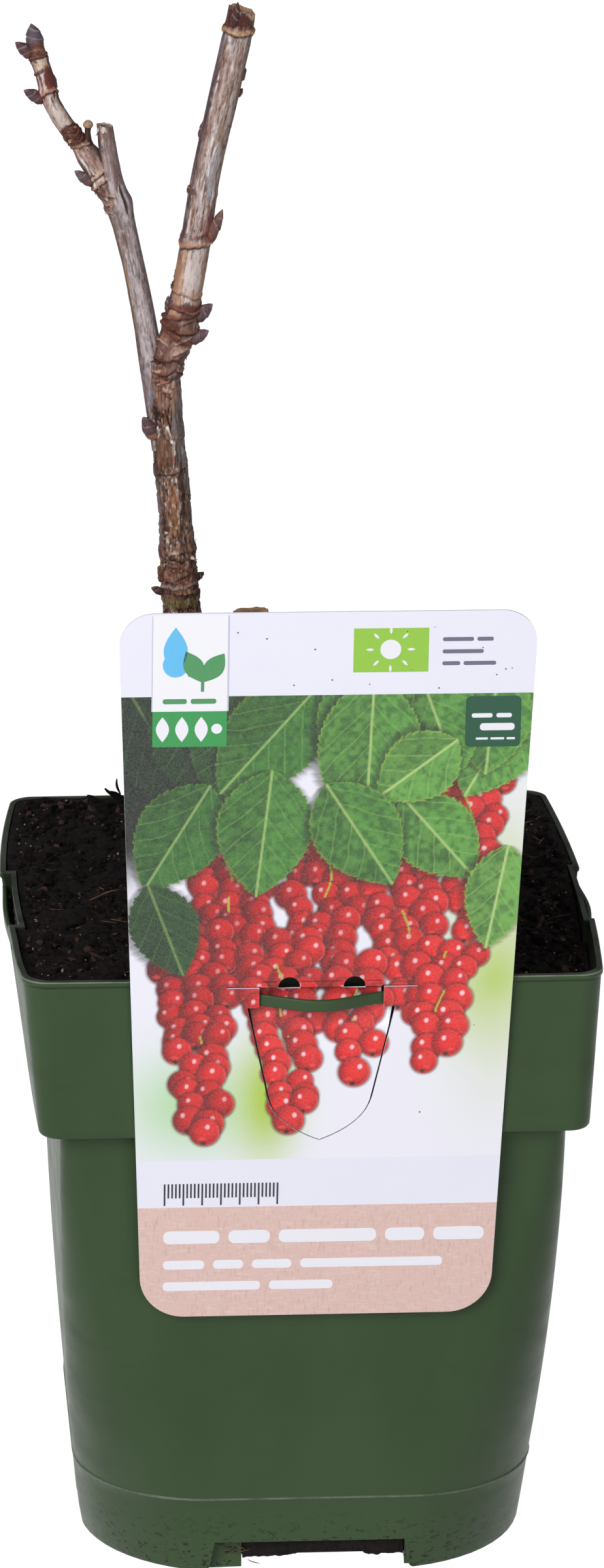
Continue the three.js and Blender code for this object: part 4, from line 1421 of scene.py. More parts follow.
@dataclass
class Soil:
    """Filled-in peat with a rough, crumbly top."""

    pot: Pot
    gap: float = 0.3
    edge_drop: float = 3.2
    heap: float = 2.2
    tilt: float = 2.3
    foot: Pair = (-27.2, 4.0)
    cells: int = 270
    clods: int = 4600
    lumps: int = 1100
    chips: int = 260
    fibres: int = 900
    straws: int = 110
    specks: int = 1000

    def height(self, x: Array, y: Array) -> Array:
        """Height of the peat over the plan.

        A level patch round the stem goes over into a slope towards the back.
        The sides are heaped up to the brim, but not over it, and the right
        front corner is low. Three sizes of crumb noise roughen it all.

        Args:
            x: Places from left to right.
            y: Places from front to back.

        Returns:
            One height a place.
        """
        away = ease(np.hypot(x - self.foot[0], y - self.foot[1]), 15, 33)
        lumps = 0.6 * np.sin(0.11 * x + 1.7) * np.cos(0.13 * y - 0.6)
        lumps += 0.4 * np.sin(0.33 * x) * np.cos(0.29 * y + 2.1)
        share = np.maximum(np.abs(x), np.abs(y)) / RIM_HALF
        place = xyz(x, y, 0)
        crumbs = 2.6 * (grain(place * 0.14, 11, 3) - 0.5) + 1.9 * (grain(place * 0.42, 12, 3) - 0.5)
        crumbs += 0.9 * np.abs(grain(place * 0.9, 13, 2) - 0.5) * 2 - 0.35
        mound = away * (self.tilt * y / RIM_HALF + 0.8 * lumps)
        low = ease(x, 15, 60) * ease(-y, -5, 45)
        sides = self.heap * ease(np.abs(x), 44, 72) * (1 - low) - self.edge_drop * low * ease(share, 0.8, 1.0)
        brim = POT_HEIGHT - 0.1 + 0.4 * crumbs + 3 * (1 - ease(share, 0.7, 0.92))
        return np.minimum(SOIL_LEVEL + mound + sides + crumbs, brim)

    def inside(self, x: Array, y: Array, margin: float) -> Array:
        """Whether places lie inside the rim and off the pockets.

        Args:
            x: Places from left to right.
            y: Places from front to back.
            margin: How far off the walls they have to be.

        Returns:
            Yes or no for each place.
        """
        straight = RIM_HALF - WALL - margin - TOP_CORNER
        keep = np.hypot(np.maximum(np.abs(x) - straight, 0), np.maximum(np.abs(y) - straight, 0)) < TOP_CORNER
        pocket = self.pot.pocket_length / 2 + WALL + margin
        for side in Side:
            along, inward = about(x, y, -side.value * math.pi / 2)
            boss = POCKET_DEPTH[side] + WALL + margin - RIM_HALF
            keep &= (np.abs(along - POCKET_SHIFT[side]) >= pocket) | (inward >= boss)
        return keep

    def body(self) -> Surface:
        """The peat itself, trimmed to the pot's inside.

        Returns:
            The closed peat.
        """
        line = np.linspace(-RIM_HALF - 8, RIM_HALF + 8, self.cells)
        x, y = np.meshgrid(line, line)
        block = slab(xyz(x, y, self.height(x, y)), -5.0)
        profile = self.pot.inner_profile(self.gap)
        return carved(carved(block, self.pot.plan.solid(profile), Knife.KEEP), self.pot.bosses(self.gap))

    def plugs(self) -> Surface:
        """Peat that shows in the drains, with a lumpy underside.

        Returns:
            The four closed plugs.
        """
        pot = self.pot
        front = pot.alcove_depth + 0.1
        x, y = np.meshgrid(
            np.linspace(pot.drain_from + self.gap, pot.drain_to - self.gap, 90),
            np.linspace(front, pot.alcove_depth + pot.drain_inward - self.gap, 16),
        )
        parts = []
        for side in Side:
            place = xyz(x, y, side.value * 9.0)
            slope = 1.9 * ease(x, -16, 13) * (1 - ease(x, 13, 16))
            lumps = 1.1 * (grain(place * 0.22, 21, 3) - 0.4) + 0.7 * (grain(place * 0.9, 22, 2) - 0.5)
            sag = np.clip(3.0 + slope + lumps, 1.2, 6.4)
            plug = slab(xyz(x, y, -sag), self.gap - pot.drain_top)
            points = plug.points * [1, 1, -1] - [0, BODY_FOOT_HALF, 0]
            in_front = points[:, 1] < front + 0.2 - BODY_FOOT_HALF
            points[:, 1] += 0.8 * (grain(points * 0.8, 23, 2) - 0.8) * in_front
            parts.append(Surface(pot.plan.turned(points, side), plug.faces).outward())
        return joined(parts)

    def spots(self, count: int, seed: int, margin: float) -> tuple[Array, np.random.Generator]:
        """Random places on the peat's top.

        Args:
            count: How many at most.
            seed: Which random places.
            margin: How far off the walls they lie.

        Returns:
            The places, and the source of the random numbers.
        """
        rng = np.random.default_rng(seed)
        x, y = rng.uniform(-RIM_HALF, RIM_HALF, (count * 3, 2)).T
        keep = self.inside(x, y, margin)
        x, y = x[keep][:count], y[keep][:count]
        return self.pot.plan.settle(xyz(x, y, self.height(x, y))), rng

    def crumbs(self, count: int, seed: int, sizes: Pair, tip: float = 1.0) -> Surface:
        """Loose crumbs, most of them small: sizes follow a cubed share.

        Args:
            count: How many, about.
            seed: Which random places.
            sizes: Smallest and largest radius.
            tip: 1 for lumps turned all ways, near 0 for long chips that lie flat.

        Returns:
            One surface with all the crumbs.
        """
        places, rng = self.spots(count, seed, 2.0)
        radius = lerp(*sizes, rng.uniform(0, 1, len(places)) ** 3)
        stretch = rng.uniform(0.45, 1.35, (len(places), 3)) * radius[:, None]
        stretch = stretch * lerp(np.array([2.6, 0.9, 0.35]), 1.0, tip)
        places[:, 2] += 0.12 * radius
        return copies(*pebble(), places, random_turns(rng, len(places), tip), stretch)

    def pocket_peat(self) -> Surface:
        """Clods that have fallen into the left pocket and lie on its slope.

        Returns:
            One surface with all the clods.
        """
        rng = np.random.default_rng(48)
        side, count, half = Side.LEFT, 150, self.pot.pocket_length / 2 - 1.2
        deep = rng.uniform(1.15, POCKET_DEPTH[side] - 0.1, count)
        low = POT_HEIGHT - lerp(self.pot.pocket_ramp, self.pot.pocket_floor, deep / POCKET_DEPTH[side])
        x = POCKET_SHIFT[side] + rng.uniform(-half, half, count)
        z = low + rng.uniform(0.4, 1.0, count) * (POT_HEIGHT - 7.0 - low)
        places = self.pot.plan.turned(xyz(x, deep - RIM_HALF, z), side)
        stretch = rng.uniform(0.45, 0.85, (count, 3))
        return copies(*pebble(), places, random_turns(rng, count), stretch)

    def threads(self, count: int, seed: int, lengths: Pair, radii: Pair, curl: float) -> Surface:
        """Fibres that lie on the peat, lifted a little at one end.

        Args:
            count: How many, about.
            seed: Which random places.
            lengths: Shortest and longest.
            radii: Thinnest and thickest.
            curl: How much they curl aside.

        Returns:
            One surface with all the fibres.
        """
        places, rng = self.spots(count, seed, 4.0)
        count = len(places)
        angle = rng.uniform(0, TURN, count)
        ways = unit(xyz(np.cos(angle), np.sin(angle), rng.uniform(-0.18, 0.3, count)))
        long = rng.uniform(*lengths, count)
        places = places - ways * long[:, None] * 0.5
        places[:, 2] += 0.35
        keep = self.inside(places[:, 0], places[:, 1], 2.5)
        thick = rng.uniform(*radii, count)
        return strands(places[keep], ways[keep], long[keep], thick[keep], curl, seed + 1)

    def rootlets(self) -> tuple[Surface, Surface]:
        """The dark rootlet that stands up, and the pale curled root.

        Returns:
            The two, each out of a few strands.
        """
        start = np.array([[-42, 69, 175.9], [-43.8, 69.5, 178.6], [-44.9, 69, 180], [-43, 69.2, 177.7]])
        ways = unit(np.array([[-0.7, 0.0, 0.72], [-0.95, 0.0, 0.3], [-0.2, 0.1, 0.9], [-1.0, 0.0, -0.1]]))
        dark = strands(start, ways, np.array([9.2, 5.0, 4.6, 3.8]), np.array([0.7, 0.48, 0.42, 0.44]), 0.1, 5)
        start = np.array([[-54.0, 2.0, 176.2], [-58.0, -8.0, 175.8], [-52.0, -22.0, 175.6]])
        ways = unit(np.array([[1.0, 0.25, 0.05], [1.0, -0.15, 0.0], [1.0, 0.1, 0.02]]))
        return dark, strands(start, ways, np.array([13.0, 9.0, 12.0]), np.array([0.6, 0.3, 0.32]), 0.2, 9)

    def notch_roots(self) -> Surface:
        """Thin roots across the lit end of the front alcove.

        Returns:
            One surface with all the roots.
        """
        x = FOOT_OFFSET + np.array([-26.0, -24.5, -23.0, -21.0, -19.5, -16.5])
        y = self.pot.alcove_depth - 0.25 - BODY_FOOT_HALF
        starts = xyz(x, y, np.array([7.6, 3.0, 6.2, 4.0, 6.8, 2.2]))
        ways = unit(xyz(np.array([1, 1, 1, 1, 0.9, 0.4]), 0, np.array([-0.35, 0.6, -0.7, 0.25, -0.5, -0.2])))
        return strands(starts, ways, np.array([7.0, 5.0, 4.5, 5.5, 4.0, 3.5]), np.full(6, 0.16), 0.06, 31)

    def place(self, bench: Bench) -> None:
        """Puts in the peat, its crumbs, fibres and roots.

        Args:
            bench: Puts the pieces in.
        """
        body = bench.put("peat_body", joined([self.body(), self.plugs()]), Peat().material(), 180.0)
        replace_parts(body, "soil")
        dark = Grains("peat_dark", rgb(5, 3, 3), rgb(24, 16, 15), 0.85, 0.12).material()
        brown = Grains("peat_brown", rgb(68, 46, 39), rgb(38, 25, 21), 0.8, 0.25).material()
        # Pale bits of the peat, made bright and many so that they also serve as painted glints of wet peat.
        pale = Grains("peat_pale_and_glint", rgb(150, 136, 122), rgb(104, 84, 70), 0.7).material()
        tan = Grains("peat_straw", rgb(110, 80, 60), rgb(70, 46, 34), 0.7).material()
        clods = [self.crumbs(self.clods, 41, (0.35, 1.7)), self.pocket_peat()]
        loose = [self.crumbs(self.lumps, 42, (0.3, 1.4)), self.crumbs(self.chips, 47, (0.45, 1.3), 0.15)]
        rootlet, root = self.rootlets()
        threads = [self.threads(self.fibres, 44, (2.5, 8.0), (0.08, 0.2), 0.12), rootlet]
        straws = [self.threads(self.straws, 46, (2.5, 7.5), (0.14, 0.32), 0.04), root, self.notch_roots()]
        for name, parts, material, sharp in (
            ("peat_clods", clods, dark, 28.0),
            ("peat_crumbs", loose, brown, 28.0),
            # Pale specks: pale bits of the peat, and painted glints of wet peat as well.
            ("peat_specks_and_glints", [self.crumbs(self.specks, 43, (0.2, 0.45))], pale, 28.0),
            ("peat_fibres", threads, dark, 180.0),
            ("peat_straws", straws, tan, 180.0),
        ):
            bench.put(name, joined(parts), material, sharp)


# The plant.

DARK = rgb(58, 38, 31)
BROWN = rgb(112, 76, 58)
RED = rgb(98, 52, 40)
TAN = rgb(182, 148, 122)
OCHRE = rgb(176, 122, 82)
GREY = rgb(132, 118, 120)
PALE = rgb(206, 192, 184)
GREEN = rgb(112, 106, 62)
WOOD = rgb(204, 172, 134)
SCALE_GAP = rgb(36, 20, 17)
SCAR_TONES = (rgb(152, 108, 94), rgb(192, 160, 146), rgb(120, 76, 66), rgb(100, 62, 56), rgb(166, 124, 104))
CUT_RINGS = 9


def turned_off(degrees: Array, middle: float) -> Array:
    """Degrees from a middle direction, between -180 and 180."""
    return (degrees - middle + 180) % 360 - 180


@dataclass(frozen=True)
class Ring:
    """Scar that runs round a limb: a raised ring over a dark line.

    Attributes:
        at: Share of the limb's length.
        out: Height above the bark.
        wide: Half width along the limb.
        colour: Its own colour.
        tint: How strong the colour is.
        slant: How far it rises towards the right and sinks on the left.
        line: How dark the line under it is.
        around: Middle of the stretch that it covers, in degrees.
        spread: Half of that stretch in degrees, or 180 for all the way.
    """

    at: float
    out: float
    wide: float
    colour: Colour = OCHRE
    tint: float = 0.8
    slant: float = 0.0
    line: float = 0.8
    around: float = 0.0
    spread: float = 180.0


def crescents(
    start: float, end: float, count: int, seed: int, out: float = 0.5, wide: float = 0.6, shade: float = 1.0
) -> list[Ring]:
    """Old bud scars on a stretch of a limb: short slanting rings, one above the other.

    Args:
        start: Share of the limb's length where they begin.
        end: Share where they end.
        count: How many.
        seed: Which random slants and colours.
        out: Their mean height above the bark.
        wide: Their mean half width.
        shade: Factor on their colours.

    Returns:
        The rings.
    """
    rng = np.random.default_rng(seed)
    made = []
    for k in range(count):
        at = lerp(start, end, (k + rng.uniform(0.2, 0.8)) / count)
        around, spread = rng.uniform(-80, 80), rng.uniform(35, 110)
        size = rng.uniform(0.5, 1.4)
        tone = tuple(shade * c for c in SCAR_TONES[int(rng.integers(len(SCAR_TONES)))])
        slant, line = rng.uniform(-2.8, 2.8), rng.uniform(0.5, 1.0)
        made.append(Ring(at, out * size, wide * size, tone, 0.85, slant, line, around, spread))
    return made


@dataclass(frozen=True)
class Patch:
    """Ragged oval patch of bark, raised or sunken, in its own colour.

    Attributes:
        at: Share of the limb's length.
        around: Degrees from the front towards the right.
        long: Half length along the limb.
        wide: Half width in degrees.
        colour: Its own colour.
        tint: How strong the colour is.
        out: Height above the bark.
        ragged: How uneven its edge is.
        soft: Share of the oval from which its height fades.
    """

    at: float
    around: float
    long: float
    wide: float
    colour: Colour
    tint: float = 0.8
    out: float = 0.0
    ragged: float = 0.5
    soft: float = 0.82


@dataclass(frozen=True)
class Scaly:
    """Stretch of old bud scars: rings of overlapping scales, much broken up.

    Attributes:
        at: Share of the limb's length.
        long: Half length along the limb.
        pitch: Height of one scale.
        out: How far a scale's edge stands out.
        around: Middle of the stretch, in degrees.
        wide: Half width in degrees, or 180 for all the way.
        tint: How strong its colours are.
        main: Colour of the scales.
        edge: Colour of their dry edges.
    """

    at: float
    long: float
    pitch: float = 1.7
    out: float = 0.45
    around: float = 0.0
    wide: float = 180.0
    tint: float = 0.9
    main: Colour = rgb(128, 82, 66)
    edge: Colour = rgb(202, 164, 142)


@dataclass(frozen=True)
class BarkStyle:
    """How a limb's bark is coloured, with painted shade on its sides, and how rough it is."""

    main: Colour
    light: Colour
    dark: Colour
    streak: float = 0.8
    ridge: float = 0.16
    plate: float = 0.0
    crack: float = 0.1
    cracked: float = 0.35
    stretch: float = 0.1
    # left, right and sides: colours and strength of the painted shade on the limb's left and right sides.
    left: Colour = BROWN
    right: Colour = BROWN
    sides: float = 0.5
    fleck: float = 0.3
    contrast: float = 1.35


@dataclass(frozen=True)
class CutEnd:
    """The cut top of a limb: jagged, and hollow in the middle."""

    jag: float = 0.5
    hollow: float = 0.6
    rim: Colour = WOOD
    core: Colour = BROWN
    tilt: float = 0.0


class BudKind(Enum):
    """How far a bud's scales stand open."""

    CLOSED = 0
    OPEN = 5


CLOSED, OPEN = BudKind


@dataclass(frozen=True)
class Bud:
    """Pointed bud of overlapping scales.

    Attributes:
        at: Share of the limb's length.
        around: Degrees from the front towards the right.
        lean: Degrees away from the limb.
        length: Length.
        radius: Radius at its thickest.
        kind: Closed, or with open scales at the tip.
        body: Colour of the scales.
        foot: Colour at its foot.
        tip: Colour of the open scales.
        flare: How far the open scales bend out.
    """

    at: float
    around: float
    lean: float
    length: float
    radius: float
    kind: BudKind = CLOSED
    body: Colour = rgb(96, 74, 78)
    foot: Colour = rgb(108, 58, 42)
    tip: Colour = rgb(104, 90, 96)
    flare: float = 0.3


@dataclass(frozen=True)
class Spur:
    """Cut spur: a thin stalk that ends in a round knob."""

    at: float = 0.335
    around: float = 80.0
    lean: float = 38.0
    sink: float = 1.4
    stalk: float = 4.4
    stalk_radius: float = 0.85
    knob_radius: float = 1.35


@dataclass(frozen=True)
class Flakes:
    """A stretch of a limb where bark peels in small scales."""

    start: float
    end: float
    count: int
    length: Pair = (1.0, 2.6)
    lift: float = 0.5
    around: Pair = (-180.0, 180.0)
    colours: tuple[Colour, ...] = (TAN, OCHRE, BROWN)


BUD_ALONG = np.array([0.0, 0.02, 0.12, 0.25, 0.5, 0.66, 0.78, 0.9, 0.97, 1.0])
BUD_OUT = np.array([0.5, 0.62, 0.86, 0.98, 0.98, 0.84, 0.64, 0.36, 0.16, 0.04])


def blade(base: Array, axis: Array, out: Array, size: Pair, flare: float, tone: Array) -> Surface:
    """One thin bark scale: a leaf-shaped blade that curls outwards.

    Its middle line leaves the base along the axis and bends outwards with the
    square of the share of its length. Its width follows a sine, and its tip is
    paler than its foot.

    Args:
        base: Foot of the scale.
        axis: Direction of length 1 along it.
        out: Direction of length 1 away from the bark.
        size: Length and half width.
        flare: How far the tip bends out, as a share of the length.
        tone: Colour of the scale.

    Returns:
        The closed scale.
    """
    length, half = size
    t = np.linspace(0, 1, 7)[:, None]
    line = base + axis * length * t + out * flare * length * t**2
    wide = half * np.sin(math.pi * (0.22 + 0.74 * t)) ** 0.8
    angle = full_turn(8)
    cup = 0.35 * half * np.cos(angle) ** 2
    rise = (0.1 + 0.05 * (1 - t)) * np.sin(angle) - cup * (1 - t)
    side = unit(np.cross(axis, out))
    rings = line[:, None] + side * (wide * np.cos(angle))[..., None] + out * rise[..., None]
    return sleeve(rings, mixed(evenly(tone, (7, 8)), PALE, 0.35 * t**2 + 0 * angle))


@dataclass
class Limb:
    """A limb along a smooth curve, with its bark, scars and buds.

    The middle line is a Catmull-Rom curve through the points, walked at even
    steps of length. The thickness follows the list of radii, plus a bell for
    each node, plus the bark's relief.
    """

    name: str
    node: str
    slot: str
    points: Sequence[Numbers]
    radii: Numbers
    nodes: Sequence[Numbers]
    style: BarkStyle
    rings: Sequence[Ring] = ()
    patches: Sequence[Patch] = ()
    scaly: Sequence[Scaly] = ()
    buds: Sequence[Bud] = ()
    spurs: Sequence[Spur] = ()
    flakes: Sequence[Flakes] = ()
    end: CutEnd | None = None
    root: Numbers | None = None
    root_radius: float = 3.0
    rows: int = 200
    columns: int = 80
    seed: int = 1

    def __post_init__(self) -> None:
        """Measures the curve at even steps."""
        self.corners = np.array(self.points, float)
        self.marks = np.linspace(0, 1, 201)
        steps = np.linalg.norm(np.diff(self.on_curve(self.marks), axis=0), axis=1)
        self.walked = np.concatenate([[0.0], np.cumsum(steps)])
        self.length = float(self.walked[-1])

    def on_curve(self, t: Array) -> Array:
        """Points of the curve at shares of its number of corners.

        Args:
            t: Shares of the number of corners.

        Returns:
            One point a share.
        """
        p = self.corners
        ext = np.vstack([2 * p[0] - p[1], p, 2 * p[-1] - p[-2]])
        place = np.clip(t, 0, 1) * (len(p) - 1)
        i = np.minimum(np.floor(place).astype(int), len(p) - 2)
        w = (place - i)[:, None]
        a, b, c, d = ext[i], ext[i + 1], ext[i + 2], ext[i + 3]
        go, come = 0.5 * (c - a), 0.5 * (d - b)
        return b + go * w + (3 * c - 3 * b - 2 * go - come) * w**2 + (2 * b - 2 * c + go + come) * w**3

    def frames(self, share: Array) -> tuple[Array, Array, Array, Array]:
        """Origins, tangents, and the directions right and front.

        Args:
            share: Shares of the length.

        Returns:
            Four arrays with a row for each share.
        """
        place = np.interp(np.clip(share, 0, 1) * self.length, self.walked, self.marks)
        step = 1e-3
        before, after = np.maximum(place - step, 0), np.minimum(place + step, 1)
        tangent = unit(self.on_curve(after) - self.on_curve(before))
        right = unit(np.cross(np.array([0.0, 1.0, 0.0]), tangent))
        return self.on_curve(place), tangent, right, np.cross(right, tangent)

    def radius(self, share: Values) -> Array:
        """Thickness with the bells of the nodes."""
        base = np.interp(np.clip(share, 0, 1), np.linspace(0, 1, len(self.radii)), self.radii)
        return base + sum(out * bell(share, at, wide) for at, out, wide in self.nodes)

    def local(self, at: float, around: float, lean: float = 0.0) -> tuple[Array, Array, Array, Array]:
        """One place of the limb, for what grows there.

        Args:
            at: Share of the length.
            around: Degrees from the front towards the right.
            lean: Degrees by which a growth leans away from the limb.

        Returns:
            Middle line's point, tangent, outward direction, and a growth's axis.
        """
        origin, tangent, right, front = (v[0] for v in self.frames(np.array([at])))
        angle, tilt = math.radians(around), math.radians(lean)
        outward = right * math.sin(angle) + front * math.cos(angle)
        return origin, tangent, outward, unit(tangent * math.cos(tilt) + outward * math.sin(tilt))

    def bark(self, s: Array, angle: Array) -> tuple[Array, Array]:
        """Relief and colours of the bark.

        Streaks, plates and cracks are noises stretched along the limb. Rings
        are bells along the limb, patches are ovals with a noisy edge. The left
        and right sides are darkened towards their own colours as painted shade.

        Args:
            s: Length along the limb, by row and column.
            angle: Angle round it, by row and column.

        Returns:
            Height above the plain surface, and the colours.
        """
        style = self.style
        girth = float(np.mean(self.radii))
        x, y, degrees = np.cos(angle) * girth, np.sin(angle) * girth, np.degrees(angle)

        def noise(size: float, stretch: float, seed: int, octaves: int, gain: float = 0.5) -> Array:
            """Noise on the bark, stretched along the limb."""
            return grain(xyz(x, y, s * stretch) * size, self.seed + seed, octaves, gain)

        streak = noise(1.5, 1.6 * style.stretch, 0, 4, 0.6)
        broad = noise(0.3, 0.07 / 0.3, 7, 2)
        plate = noise(0.62, 0.22, 13, 3)
        split = noise(0.75, 1.6 * style.stretch, 19, 3)
        small = noise(2.2, 0.8, 23, 2)
        spots = noise(1.15, 0.5, 29, 3, 0.6)
        crack = (1 - ease(np.abs(split - 0.5), 0.0, 0.03 * style.cracked / 0.35)) * ease(streak, 0.4, 0.55)
        out = style.ridge * (streak - 0.5) * 2 + 0.08 * (small - 0.5) + 0.12 * style.fleck * (spots - 0.5)
        out += style.plate * (ease(plate, 0.46, 0.5) + ease(plate, 0.56, 0.6) - 1) - style.crack * crack * 2
        aside = np.sin(angle) + 0.3 * (streak - 0.5)
        edges = bell(plate, 0.47, 0.012) + bell(plate, 0.57, 0.012)
        colour = painted(
            evenly(style.main, s.shape),
            (style.light, ease(broad, 0.4, 0.68) * 0.75),
            (style.light, ease(streak, 0.54, 0.72) * style.streak),
            (style.dark, ease(0.5 - streak, 0.03, 0.22) * style.streak),
            (DARK, crack * style.cracked * 1.6),
            (PALE, ease(spots, 0.6, 0.72) * style.fleck),
            (DARK, ease(0.4 - spots, 0.0, 0.12) * style.fleck),
            # Painted shade: the limb's left and right sides darkened towards the left and right colours.
            (style.left, ease(-aside, 0.62, 0.97) * style.sides),
            (style.right, ease(aside, 0.66, 0.97) * style.sides),
            (DARK, edges * min(1.0, style.plate * 3)),
        )
        for patch in self.patches:
            turn = turned_off(degrees, patch.around)
            oval = np.hypot((s - patch.at * self.length) / patch.long, turn / patch.wide)
            edge = oval + patch.ragged * (streak - 0.5) * 2
            inside = 1 - ease(edge, 0.82, 1.0)
            out += patch.out * (1 - ease(oval, patch.soft, 1.0) if patch.soft < 0.8 else inside)
            rim = 0.35 * patch.tint * bell(edge, 0.97, 0.07)
            colour = painted(colour, (patch.colour, inside * patch.tint), (DARK, rim))
        warp = noise(0.42, 0.22 / 0.42, 37, 3)
        for zone in self.scaly:
            out, colour = self.scaled(zone, s, angle, warp, streak, out, colour)
        wander = (noise(0.5, 0.2, 31, 2) - 0.5) * 1.6
        for ring in self.rings:
            turn = np.abs(turned_off(degrees, ring.around))
            here = 1 - ease(turn, 0.75 * ring.spread, ring.spread) * (ring.spread < 180)
            gap = s - ring.at * self.length - ring.slant * np.sin(angle) - wander
            raised = here * bell(gap, 0, ring.wide) * (0.6 + 0.8 * small)
            line = here * bell(gap, -1.25 * ring.wide, 0.3 * ring.wide + 0.1) * ring.line
            out += ring.out * raised - 0.18 * line
            colour = painted(colour, (ring.colour, np.clip(raised, 0, 1) * ring.tint), (DARK, line))
        main = np.asarray(style.main)
        return out, np.clip(main * (colour / main) ** style.contrast, 0.004, 0.85)

    def scaled(
        self, zone: Scaly, s: Array, angle: Array, warp: Array, streak: Array, out: Array, colour: Array
    ) -> tuple[Array, Array]:
        """Adds a stretch of overlapping scales to the relief and colours.

        The length along the limb, bent by a slow noise, is cut into rows of
        one pitch; each row is cut into scales round the limb. Across a scale
        the relief rises steadily and drops at its edge.

        Args:
            zone: The stretch.
            s: Length along the limb.
            angle: Angle round it.
            warp: Slow noise between 0 and 1.
            streak: Fine noise between 0 and 1.
            out: Relief so far.
            colour: Colours so far.

        Returns:
            The new relief and colours.
        """
        turn = turned_off(np.degrees(angle), zone.around)
        oval = np.hypot((s - zone.at * self.length) / zone.long, (turn / zone.wide) * (zone.wide < 180))
        here = 1 - ease(oval + 0.5 * (warp - 0.5) + 0.3 * (streak - 0.5), 0.8, 1.0)
        row = s / zone.pitch + 2.6 * (warp - 0.5) + 0.35 * (streak - 0.5) + 0.35 * np.sin(angle + 0.7)
        rank = np.floor(row)
        rise = row - rank
        column = angle / TURN * 2.0 + 0.37 * rank + 1.6 * (warp - 0.5)
        place = column - np.floor(column)
        cells = xyz(rank, np.floor(column) % 2, 0)
        kind = scattered(cells, self.seed + 61)
        joint = bell(place, 0.5, 0.03) * (kind > 0.75)
        lobe = 1 - (2 * place - 1) ** 4
        tone = painted(
            evenly(zone.main, s.shape),
            (RED, 0.7 * kind),
            (zone.edge, 0.55 * ease(streak, 0.52, 0.7)),
            (zone.edge, 0.9 * ease(rise, 0.74, 0.95) * (0.3 + 0.7 * scattered(cells, self.seed + 67))),
            (SCALE_GAP, 1 - ease(rise, 0.04, 0.34)),
            (DARK, 0.8 * joint),
        )
        raised = here * zone.out * (rise * (0.7 + 0.8 * kind) * (0.7 + 0.3 * lobe) - 0.5 - 0.4 * joint)
        return out + raised, mixed(colour, tone, here * zone.tint)

    def skin(self) -> Surface:
        """The limb's own closed surface, from its root to its cut end.

        Returns:
            The surface with its colours.
        """
        root = self.corners[0] if self.root is None else np.array(self.root)
        below = float(np.linalg.norm(self.corners[0] - root))
        s = np.linspace(-below, self.length, self.rows)
        origin, tangent, right, front = self.frames(s / self.length)
        deep = np.clip(-s / max(below, 1e-6), 0, 1)
        origin = origin + (root - self.corners[0]) * deep[:, None]
        radius = lerp(self.radius(s / self.length), self.root_radius, deep)
        angle = full_turn(self.columns)
        relief, colours = self.bark(*np.meshgrid(s, angle, indexing="ij"))
        full = radius[:, None] + relief
        across, forward = full * np.sin(angle), full * np.cos(angle)
        end = self.end or CutEnd(0.0, -0.4, self.style.main, self.style.main)
        teeth = grain(xyz(np.cos(angle) * 2.4, np.sin(angle) * 2.4, 0), self.seed + 41, 3)
        up = end.tilt * across * ease(s, self.length - 3, self.length)[:, None]
        up = up + end.jag * (teeth - 0.5) * 2.4 * ease(s, self.length - 2.0, self.length)[:, None]
        rings = origin[:, None] + right[:, None] * across[..., None] + front[:, None] * forward[..., None]
        rings = rings + tangent[:, None] * up[..., None]
        inner, tints = [], []
        noise = grain(xyz(np.cos(angle) * 3, np.sin(angle) * 3, 0), self.seed + 43, 2)
        for share in np.arange(1, CUT_RINGS + 1) / CUT_RINGS:
            shrink = 1 - 0.98 * share**1.1
            deep = end.hollow * ease(share, 0.05, 0.8) + 0.25 * (noise - 0.5) * min(share, 1 - share)
            inner.append(origin[-1] + (rings[-1] - origin[-1]) * shrink - tangent[-1] * deep[:, None])
            shade = 0.5 * ease(noise, 0.45, 0.75) * share
            wood = evenly(end.rim, angle.shape)
            tints.append(painted(wood, (end.core, ease(share, 0.2, 0.62)), (DARK, shade)))
        return sleeve(np.concatenate([rings, inner]), np.concatenate([colours, tints]))

    def bud(self, bud: Bud, seed: int) -> Surface:
        """A bud with its scales, sunk a little in the bark.

        Args:
            bud: Its sizes and colours.
            seed: Which random scales.

        Returns:
            The bud with its loose scales.
        """
        origin, tangent, outward, axis = self.local(bud.at, bud.around, bud.lean)
        reach = float(self.radius(bud.at))
        base = origin + outward * (reach - (reach if bud.lean == 0 else 0.55 * bud.radius))
        side = unit(np.cross(axis, outward if bud.lean else tangent + 0.3 * outward))
        other = np.cross(axis, side)
        t = np.linspace(0, 1, 34)[:, None]
        angle = full_turn(28)[None, :]
        spiral = (t * 3.1 + angle / TURN * 2 + 0.06 * np.sin(3 * angle + seed)) % 1.0
        noise = grain(xyz(np.cos(angle), np.sin(angle), t * 2) * 3, seed, 2)
        out = np.interp(t, BUD_ALONG, BUD_OUT) * (1 + 0.13 * (0.5 - spiral)) * bud.radius
        out = out * (0.94 + 0.14 * noise)
        ring = side * (out * np.cos(angle))[..., None] + other * (out * np.sin(angle))[..., None]
        line = base + axis * bud.length * t + unit(tangent) * 0.07 * bud.length * t**2
        colours = painted(
            evenly(bud.body, spiral.shape),
            (PALE, 0.45 * ease(spiral, 0.8, 0.98)),
            (DARK, 0.75 * ease(0.16 - spiral, 0.0, 0.12)),
            (bud.foot, ease(0.42 - t, 0.0, 0.25) * 0.8 + 0 * angle),
            (DARK, 0.4 * ease(noise, 0.5, 0.75)),
        )
        parts = [sleeve(line[:, None] + ring, colours)]
        rng = np.random.default_rng(seed)

        def scale(turn: float, up: float, off: float) -> tuple[Array, Array]:
            """A loose scale's foot and the direction away from the bud."""
            away = unit(side * math.cos(turn) + other * math.sin(turn))
            return base + axis * bud.length * up + away * bud.radius * off, away

